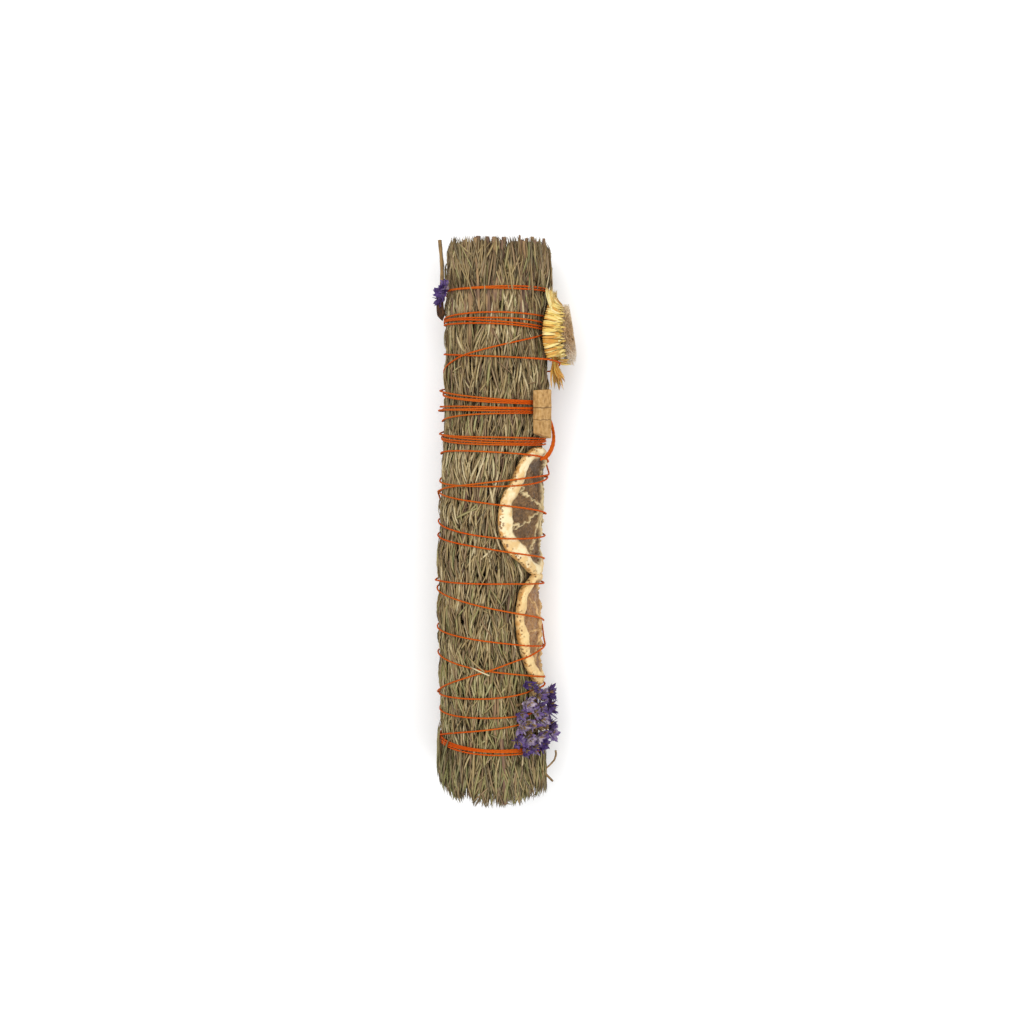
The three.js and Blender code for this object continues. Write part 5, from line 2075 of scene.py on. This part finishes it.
@dataclass
class Florets:
    """Builds papery funnels with a pleated, notched rim."""

    height: float = 3.4
    usual_radius: float = 3.2
    lobes: int = 5
    steps: int = 40
    petal_count: int = 9
    tuft_count: int = 7

    def funnel(self) -> bmesh.types.BMesh:
        """A thin closed funnel of radius 1 and height 1, spun from its outline.

        Returns:
            The funnel.
        """
        outer = [(0.0, 0.0), (0.24, 0.02), (0.3, 0.22), (0.42, 0.48), (0.66, 0.76), (0.86, 0.92), (1.0, 1.0)]
        inner = [(0.98, 1.03), (0.84, 0.97), (0.64, 0.82), (0.38, 0.56), (0.2, 0.36), (0.0, 0.34)]
        return spun(outer + inner, self.steps)

    def blooms(self, florets: Sequence[Floret], chance: np.random.Generator) -> Batch:
        """All the blooms of one piece.

        Args:
            florets: the blooms.
            chance: the random numbers.

        Returns:
            The blooms as one batch.
        """
        shape = self.funnel()
        flat = np.array([vert.co for vert in shape.verts])
        multiplied(shape, len(florets))
        share = np.hypot(flat[:, 0], flat[:, 1])
        turn = np.arctan2(flat[:, 1], flat[:, 0])
        rim = share**2
        places, tones = [], []
        for floret in florets:
            phase = chance.uniform(0.0, 6.0)
            lobe = np.cos(self.lobes * turn + phase + 0.6 * np.sin(turn + phase))
            pleat = np.cos(3 * self.lobes * turn + phase * 2.0)
            folds = chance.uniform(0.2, 0.42)
            squash = 1.0 + chance.uniform(-0.4, 0.1) * np.cos(2.0 * turn + chance.uniform(0.0, 6.0)) ** 2
            radius = floret.radius * share * squash * (1.0 + rim * (0.13 * lobe + 0.09 * pleat))
            up = self.height * flat[:, 2] + rim * (folds * 2.2 * lobe + 0.3 * pleat)
            up = up * floret.radius / self.usual_radius
            up = up + rim * 0.35 * np.cos(turn * 2.0 + chance.uniform(0.0, 6.0))
            local = np.stack([radius * np.cos(turn), radius * np.sin(turn), up], axis=1)
            tip = Matrix.Rotation(math.radians(floret.tip_across), 3, "Y")
            tip = tip @ Matrix.Rotation(math.radians(floret.tip_along), 3, "X")
            local = local @ np.array(tip).T
            places.append(Bend(floret.angle, floret.y, floret.out).bent(local))
            tones.append(floret.tone + chance.uniform(-0.1, 0.1))
        batch = Batch(shape, np.array(places))
        batch.places[..., 2] = np.maximum(batch.places[..., 2], FLOOR)
        batch.mark("rim", np.tile(rim, (len(florets), 1)))
        batch.mark("round", np.tile(np.abs(turn), (len(florets), 1)))
        return batch.mark("tone", np.array(tones))

    def petals(self, florets: Sequence[Floret], chance: np.random.Generator) -> Batch:
        """Narrow crumpled petals round each bloom, which make its outline ragged.

        Args:
            florets: the blooms.
            chance: the random numbers.

        Returns:
            The petals as one batch.
        """
        rod = Rod(sides=6, rings=6)
        share = np.linspace(0.0, 1.0, rod.rings)[:, None]
        paths, tones = [], []
        for floret in florets:
            for turn in chance.uniform(0.0, 2.0 * math.pi, size=self.petal_count):
                reach = floret.radius * chance.uniform(0.9, 1.35)
                rise = chance.uniform(0.5, 3.6)
                side = np.array([math.cos(turn), math.sin(turn), 0.0])
                middle = side * reach * (0.25 + 0.75 * share**1.3)
                middle = middle + np.array([0.0, 0.0, 1.0]) * (0.6 + rise * share)
                middle = middle + chance.normal(0.0, 0.25, size=3) * share**2
                paths.append(Bend(floret.angle, floret.y, floret.out).bent(middle))
                tones.append(floret.tone + chance.uniform(-0.05, 0.3))
        centres = np.array(paths)
        centres[..., 2] = np.maximum(centres[..., 2], FLOOR + 0.3)
        wide, thick = frames(centres, outward_at(centres), chance.normal(0.0, 0.8, size=len(paths)))
        half = np.interp(share[:, 0], [0.0, 0.2, 0.6, 0.85, 1.0], [0.2, 0.5, 0.85, 0.6, 0.0])
        batch = rod.swept(centres, wide * half[None, :, None], thick * (half * 0.14 + 0.02)[None, :, None])
        batch.mark("rim", batch.marks["along"]).mark("round", batch.marks["across"] * 0.3)
        return batch.mark("tone", np.array(tones))

    def calyces(self, florets: Sequence[Floret], chance: np.random.Generator) -> Batch:
        """Small brown tufts in the middle of each bloom, as short stubby blades.

        Args:
            florets: the blooms.
            chance: the random numbers.

        Returns:
            The blades as one batch.
        """
        rod = Rod(sides=5, rings=6)
        paths = []
        for floret in florets:
            base = around(floret.angle, floret.out + 0.7, floret.y)
            for _ in range(self.tuft_count):
                top_angle = floret.angle + chance.normal(0.0, 2.2)
                top_out = floret.out + chance.uniform(2.6, 3.6)
                top = around(top_angle, top_out, floret.y + chance.normal(0.0, 0.8))
                share = np.linspace(0.0, 1.0, rod.rings)[:, None]
                paths.append(base + (top - base) * share)
        centres = np.array(paths)
        wide, thick = frames(centres, np.broadcast_to([0.3, 0.9, 0.3], centres.shape), np.zeros(len(paths)))
        half = np.array([0.2, 0.34, 0.36, 0.32, 0.22, 0.0])[None, :, None]
        batch = rod.swept(centres, wide * half, thick * half)
        return batch.mark("tone", chance.uniform(0.0, 1.0, size=len(paths))).dressed(1)


def twigs_batch(twigs: Sequence[Twig], seed: int, finish: int, rings: int = 40) -> Batch:
    """Thin stems as one batch.

    Args:
        twigs: the stems.
        seed: chooses their unevenness.
        finish: the place of their material in the piece's list.
        rings: how many rings each has.

    Returns:
        The stems.
    """
    growth = Growth(rings, end_ring=0.001, rounds=4, knots=0.1, knot_run=4.0)
    centres, radii = growth.grown(twigs, seed)
    sideways = np.broadcast_to([0.37, 0.11, 0.92], centres.shape)
    wide, thick = frames(centres, sideways, np.zeros(len(twigs)))
    rod = Rod(sides=7, rings=rings)
    batch = rod.swept(centres, wide * radii[..., None], thick * radii[..., None])
    batch.places[..., 2] = np.maximum(batch.places[..., 2], FLOOR)
    tone = np.random.default_rng(seed).uniform(0.2, 0.9, size=len(twigs))
    return batch.mark("tone", tone).dressed(finish)


@dataclass
class SeaLavenderSpray:
    """The spray near the lower end: a stem, two branches and papery blooms.

    Attributes:
        rows: the branches, each with its place along the bundle and the angles it goes by.
        blooms: the blooms, each with its angle, its place, its radius and its tone.
        tufts: brown tufts without a bloom, each with its angle and its place.
        lowest: the angle of the lowest bloom and its distance from the axis.
    """

    stem_out: float = 18.5
    stem_angle: float = 74.0
    rows: tuple[tuple[float, tuple[float, ...]], ...] = (
        (-69.3, (25.0, 43.0, 61.0, 79.0, 99.0)),
        (-81.5, (25.0, 45.0, 65.0, 86.0, 106.0)),
    )
    blooms: tuple[tuple[float, float, float, float], ...] = (
        (37.0, -68.3, 2.9, 0.2), (29.0, -71.8, 2.1, 0.6), (52.0, -66.5, 2.3, 0.65),
        (66.0, -67.2, 2.4, 0.3), (80.0, -67.5, 2.6, 0.8), (97.0, -69.5, 2.9, 0.9),
        (62.0, -72.0, 2.4, 0.55), (84.0, -72.8, 2.7, 0.95), (47.0, -72.6, 2.2, 0.35),
        (30.0, -77.0, 2.6, 0.3), (44.0, -77.5, 2.1, 0.45), (58.0, -76.2, 2.5, 0.2),
        (72.0, -77.5, 2.5, 0.35), (92.0, -76.5, 2.8, 0.85), (108.0, -73.0, 2.8, 0.7),
        (25.0, -82.6, 2.4, 0.75), (38.0, -82.2, 2.8, 0.2), (52.0, -82.5, 2.4, 0.3),
        (66.0, -82.0, 2.6, 0.65), (80.0, -83.4, 2.9, 0.45), (98.0, -82.6, 2.9, 0.7),
        (112.0, -79.5, 2.9, 0.6), (32.0, -86.4, 2.2, 0.7), (46.0, -86.0, 2.2, 0.5),
        (59.0, -86.4, 2.7, 0.9), (73.0, -87.0, 2.4, 0.8), (41.0, -61.6, 1.7, 0.85),
        (50.0, -63.2, 1.7, 0.5),
    )
    tufts: tuple[tuple[float, float], ...] = (
        (44.0, -79.5), (41.0, -76.0), (66.0, -67.0), (71.0, -69.0), (48.0, -65.0), (56.0, -73.8),
        (68.0, -75.0), (60.0, -79.5), (76.0, -80.5),
    )
    lowest: tuple[float, float] = (133.0, 24.8)
    side_angle: float = 76.0
    side_out: float = 22.5

    def florets(self, chance: np.random.Generator) -> list[Floret]:
        """The blooms, those at the side standing out a little further.

        Args:
            chance: the random numbers.

        Returns:
            The blooms.
        """
        made = []
        for angle, y, radius, tone in self.blooms:
            at_side = angle > self.side_angle
            out = self.side_out if at_side else 20.2 + chance.uniform(-0.5, 0.7)
            tips = chance.uniform(-32.0, 32.0, size=2)
            made.append(Floret(angle + 4.0, y, out, radius, float(tips[0]), float(tips[1]), tone))
        made.append(Floret(self.lowest[0], self.rows[1][0], self.lowest[1], 3.2, 0.0, 0.0, 0.5))
        return made

    def stems(self) -> list[Twig]:
        """The stem under the thread, its cut end at the side, and the branches.

        Returns:
            The stems.
        """
        a, out = self.stem_angle, self.stem_out
        main = (
            (a, out, -67.5),
            (a, out, -80.0),
            (a, out, -93.0),
            (a + 2, out + 1.0, -96.0),
            (a + 4, out + 3.0, -99.5),
            (a + 5, out + 5.9, -102.5),
        )
        hook = (
            (a + 4, out + 2.6, -98.0),
            (a + 6, out + 4.6, -96.2),
            (a + 7, out + 6.4, -94.2),
            (a + 7, out + 7.1, -92.0),
            (a + 6, out + 7.0, -90.2),
        )
        twigs = [Twig(main, 0.62, 0.4), Twig(hook, 0.3, 0.42)]
        for y, angles in self.rows:
            span = np.linspace(angles[0] + 8.0, angles[-1] + 1.0, 9)
            twigs.append(Twig(tuple((float(s), out, y) for s in span), 0.6, 0.5))
        return twigs

    def build(self, finishes: Sequence[bpy.types.Material]) -> None:
        """Makes the spray and puts it in the place of its node.

        Args:
            finishes: the materials of its blooms and of its stems.
        """
        chance = np.random.default_rng(61)
        florets = self.florets(chance)
        builder = Florets()
        tufts = [Floret(angle, y, 19.8) for angle, y in self.tufts for _ in range(3)]
        batches = [
            builder.blooms(florets, chance),
            builder.petals(florets, chance),
            builder.calyces(florets + tufts, chance),
            twigs_batch(self.stems(), 62, 1),
        ]
        part = Part("sea_lavender_spray_blooms", ("sea_lavender_spray",), "sea_lavender")
        assembled(part, batches, finishes)


@dataclass
class LeftSprig:
    """The small sprig at the upper left: a cut twig, two blooms and a dark bract."""

    def build(self, finishes: Sequence[bpy.types.Material]) -> None:
        """Makes the sprig and puts it in the place of its node.

        Args:
            finishes: the materials of its blooms, of its twig and of its bract.
        """
        chance = np.random.default_rng(65)
        route = ((-86.0, 21.0, 106.6), (-83.0, 20.5, 97.0), (-79.0, 20.8, 92.0), (-70.0, 22.2, 86.0))
        twig = Twig(route, 0.78, 0.66)
        florets = [
            Floret(-66.0, 85.8, 20.7, 3.0, -34.0, 8.0, 0.85),
            Floret(-60.0, 87.4, 20.5, 2.5, 10.0, -24.0, 0.6),
            Floret(-72.0, 84.2, 20.7, 2.4, -30.0, 30.0, 0.8),
            Floret(-65.0, 88.3, 20.4, 2.0, -10.0, -30.0, 0.95),
        ]
        builder = Florets()
        rod = Rod(sides=12, rings=12)
        share = np.linspace(0.0, 1.0, rod.rings)[:, None]
        leaf = around(-69.0, 22.2, 86.0) * (1 - share) ** 2
        leaf = leaf + around(-76.0, 22.6, 81.6) * 2 * share * (1 - share)
        leaf = leaf + around(-78.0, 21.0, 76.0) * share**2
        wide, thick = frames(leaf[None], outward_at(leaf[None]), np.array([1.2]))
        half = np.interp(share[:, 0], [0, 0.3, 0.8, 1.0], [0.5, 1.3, 1.6, 0.0])[None, :, None]
        bract = rod.swept(leaf[None], wide * half, thick * half * 0.3)
        bract.mark("tone", np.array([0.0])).dressed(2)
        batches = [
            builder.blooms(florets, chance),
            builder.petals(florets, chance),
            twigs_batch([twig], 66, 1),
            bract,
        ]
        part = Part("sea_lavender_sprig_blooms", ("sea_lavender_sprig",), "sea_lavender")
        assembled(part, batches, finishes)


@dataclass(frozen=True)
class ChipFinish:
    """Pale wood: tan and mottled, with dark cracks across it."""

    dark: str = "876439"
    tan: str = "b08852"
    pale: str = "c29e6c"
    split: str = "5e4325"
    cracks: tuple[tuple[float, float], ...] = ((43.4, 0.75), (39.0, 0.6))

    def material(self) -> bpy.types.Material:
        """The finish as a material.

        Returns:
            The material.
        """
        recipe = Recipe("pale_wood_grain", roughness=0.75, specular=0.2)
        grain = recipe.noise(0.8, detail=5.0, stretch=(1.0, 0.22, 1.0), distortion=0.5)
        mottle = recipe.noise(1.5, detail=5.0)
        wobble = recipe.about(recipe.noise(3.0), 1.6)
        share = recipe.plus(recipe.times(grain, 0.4), recipe.times(mottle, 0.6))
        paint = recipe.ramp(share, (0.34, self.dark), (0.5, self.tan), (0.66, self.pale))
        for place, strength in self.cracks:
            off = recipe.sum("SUBTRACT", recipe.mark("lengthwise"), place)
            off = recipe.sum("ABSOLUTE", recipe.plus(off, wobble))
            crack = recipe.times(recipe.eased(off, 0.34, 0.1), strength)
            paint = recipe.mixed(crack, paint, self.split)
            recipe.raised(crack, -0.2, 0.7)
        recipe.painted(paint).raised(share, 0.3, 0.7)
        return recipe.material


@dataclass
class WoodChip:
    """The chip of wood tied in at the side: a split flat piece with a slanted lower end.

    Attributes:
        lean: how far it leans to the side, for each mm along it.
        slant: how much higher its lower end is at the left.
        upper_slant: how much lower its upper end is there.
    """

    angle: float = 52.0
    y: float = 41.0
    width: float = 7.6
    length: float = 18.4
    lean: float = 0.075
    thickness: float = 3.0
    out: float = 21.25
    slant: float = 2.0
    upper_slant: float = 0.4

    def build(self) -> None:
        """Makes the chip and puts it in the place of its node."""
        shape = bmesh.new()
        bmesh.ops.create_cube(shape, size=1.0)
        size = Vector((self.width, self.length, self.thickness))
        bmesh.ops.scale(shape, vec=size, verts=shape.verts)
        bmesh.ops.translate(shape, vec=(0.0, 0.0, self.thickness / 2.0), verts=shape.verts)
        for vert in shape.verts:
            if vert.co.x < 0.0:
                vert.co.y += self.slant if vert.co.y < 0.0 else -self.upper_slant
        bmesh.ops.bevel(
            shape, geom=shape.edges, offset=0.3, segments=2, profile=0.5, affect="EDGES", material=-1
        )
        bmesh.ops.subdivide_edges(shape, edges=shape.edges, cuts=5, use_grid_fill=True)
        bmesh.ops.triangulate(shape, faces=[f for f in shape.faces if len(f.verts) > 4])
        flat = np.array([vert.co for vert in shape.verts])
        split = ripple(flat * np.array([1.0, 0.1, 1.0]), 1.3, seed=81) * 0.12
        rough = ripple(flat, 1.5, seed=82) * 0.05
        flat[:, 2] = np.where(flat[:, 2] > self.thickness / 2.0, flat[:, 2] + split + rough, flat[:, 2])
        flat[:, 0] += ripple(flat * np.array([0.2, 1.0, 0.5]), 6.0, seed=83) * 0.12 - self.lean * flat[:, 1]
        turned = np.radians(self.angle)
        across = np.array([math.cos(turned), 0.0, -math.sin(turned)])
        out = around(self.angle, 1.0, 0.0)
        along = np.array([0.0, 1.0, 0.0])
        places = flat[:, :1] * across + flat[:, 1:2] * along + flat[:, 2:] * out
        places = places + around(self.angle, self.out, self.y)
        part = Part("wood_chip_split", ("wood_chip",), "pale_wood")
        batch = Batch(shape, places[None]).mark("lengthwise", places[None, :, 1])
        assembled(part, [batch], [ChipFinish().material()])


@dataclass
class Studio:
    """A plain white floor, soft light from above, and the camera of the photo.

    Attributes:
        target: the place on the bundle that the camera looks at.
        tilt: how far the camera leans from straight above, in degrees.
        lamps: each lamp's name, place in metres, side length in metres and power in watts.
    """

    target: tuple[float, float, float] = (6.79, 3.1, 0.0)
    tilt: float = 5.0
    distance: float = 440.0
    lens: float = 39.86
    sensor: float = 36.0
    floor_size: float = 3.0
    sky_strength: float = 0.62
    lamps: tuple[tuple[str, tuple[float, float, float], float, float], ...] = (
        ("key", (-0.25, 0.35, 0.95), 0.9, 8.0),
        ("fill", (0.6, -0.2, 0.8), 0.9, 4.5),
    )

    def floor(self) -> None:
        """Makes the floor."""
        shape = bmesh.new()
        bmesh.ops.create_grid(shape, x_segments=1, y_segments=1, size=self.floor_size / 2.0)
        mesh = bpy.data.meshes.new("floor")
        shape.to_mesh(mesh)
        shape.free()
        recipe = Recipe("floor_white", roughness=0.9, specular=0.0)
        grain = recipe.noise(40.0)
        recipe.painted(recipe.mixed(grain, "fbfbfb", "f7f7f7"))
        mesh.materials.append(recipe.material)
        piece = bpy.data.objects.new("floor", mesh)
        bpy.context.scene.collection.objects.link(piece)

    def lamp(self, name: str, place: tuple[float, float, float], size: float, power: float) -> None:
        """One soft square lamp that faces the bundle.

        Args:
            name: its name.
            place: where it hangs, in metres.
            size: the length of its sides, in metres.
            power: its power in watts.
        """
        data = bpy.data.lights.new(name, "AREA")
        data.shape = "SQUARE"
        data.size = size
        data.energy = power
        lamp = bpy.data.objects.new(name, data)
        lamp.location = place
        lamp.rotation_euler = (-Vector(place)).to_track_quat("-Z", "Y").to_euler()
        bpy.context.scene.collection.objects.link(lamp)

    def sky(self) -> None:
        """Even white light from all round."""
        world = bpy.data.worlds.new("studio")
        world.use_nodes = True
        world.node_tree.nodes["Background"].inputs["Strength"].default_value = self.sky_strength
        world.node_tree.nodes["Background"].inputs["Color"].default_value = (1.0, 1.0, 1.0, 1.0)
        bpy.context.scene.world = world

    def camera(self) -> None:
        """Places the camera where the photo was taken from."""
        tilt = math.radians(self.tilt)
        toward = np.array([0.0, math.sin(tilt), math.cos(tilt)])
        place = LAY.straight(np.array(self.target) + toward * self.distance)
        data = bpy.data.cameras.new("camera")
        data.lens = self.lens
        data.sensor_width = self.sensor
        data.clip_start = 0.01
        camera = bpy.data.objects.new("camera", data)
        camera.location = place
        right = Vector((1.0, 0.0, 0.0))
        back = Vector(toward)
        axes = Matrix((right, back.cross(right), back)).transposed()
        camera.rotation_euler = axes.to_euler()
        bpy.context.scene.collection.objects.link(camera)
        bpy.context.scene.camera = camera

    def build(self) -> None:
        """Sets up the whole studio."""
        self.floor()
        self.sky()
        for lamp in self.lamps:
            self.lamp(*lamp)
        self.camera()
        bpy.context.scene.view_settings.view_transform = "Standard"


def main() -> None:
    """Builds the studio and every piece of the bundle."""
    logging.basicConfig(level=logging.INFO, format="%(name)s: %(message)s")
    Studio().build()
    winding = Winding()
    crust = Crust(winding)
    Rosemary(crust, crust.gaps()).build()
    Thread(winding).build()
    umber = CitrusFinish("citrus_umber_pulp", "42301c", "735431", "957549", "d0bc8e").material()
    tan = CitrusFinish("citrus_tan_pulp", "6d4a2e", "9a7247", "b88f5e", "d6b078", pith="e0c38a").material()
    CitrusSlice("citrus_slice_upper", UPPER_SLICE, seed=31).build(umber)
    CitrusSlice("citrus_slice_lower", LOWER_SLICE, seed=35).build(tan)
    Strawflower().build()
    statice = StaticeFinish().material()
    stalk = BarkFinish("sea_lavender_stalks", deep="3a2f20", bark="6b573c", worn="97794f").material()
    dark = BarkFinish("dark_bract", deep="2a1c12", bark="4f3421", worn="7a5636").material()
    SeaLavenderSpray().build([statice, stalk])
    LeftSprig().build([statice, stalk, dark])
    WoodChip().build()
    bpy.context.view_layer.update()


if __name__ == "__main__":
    main()
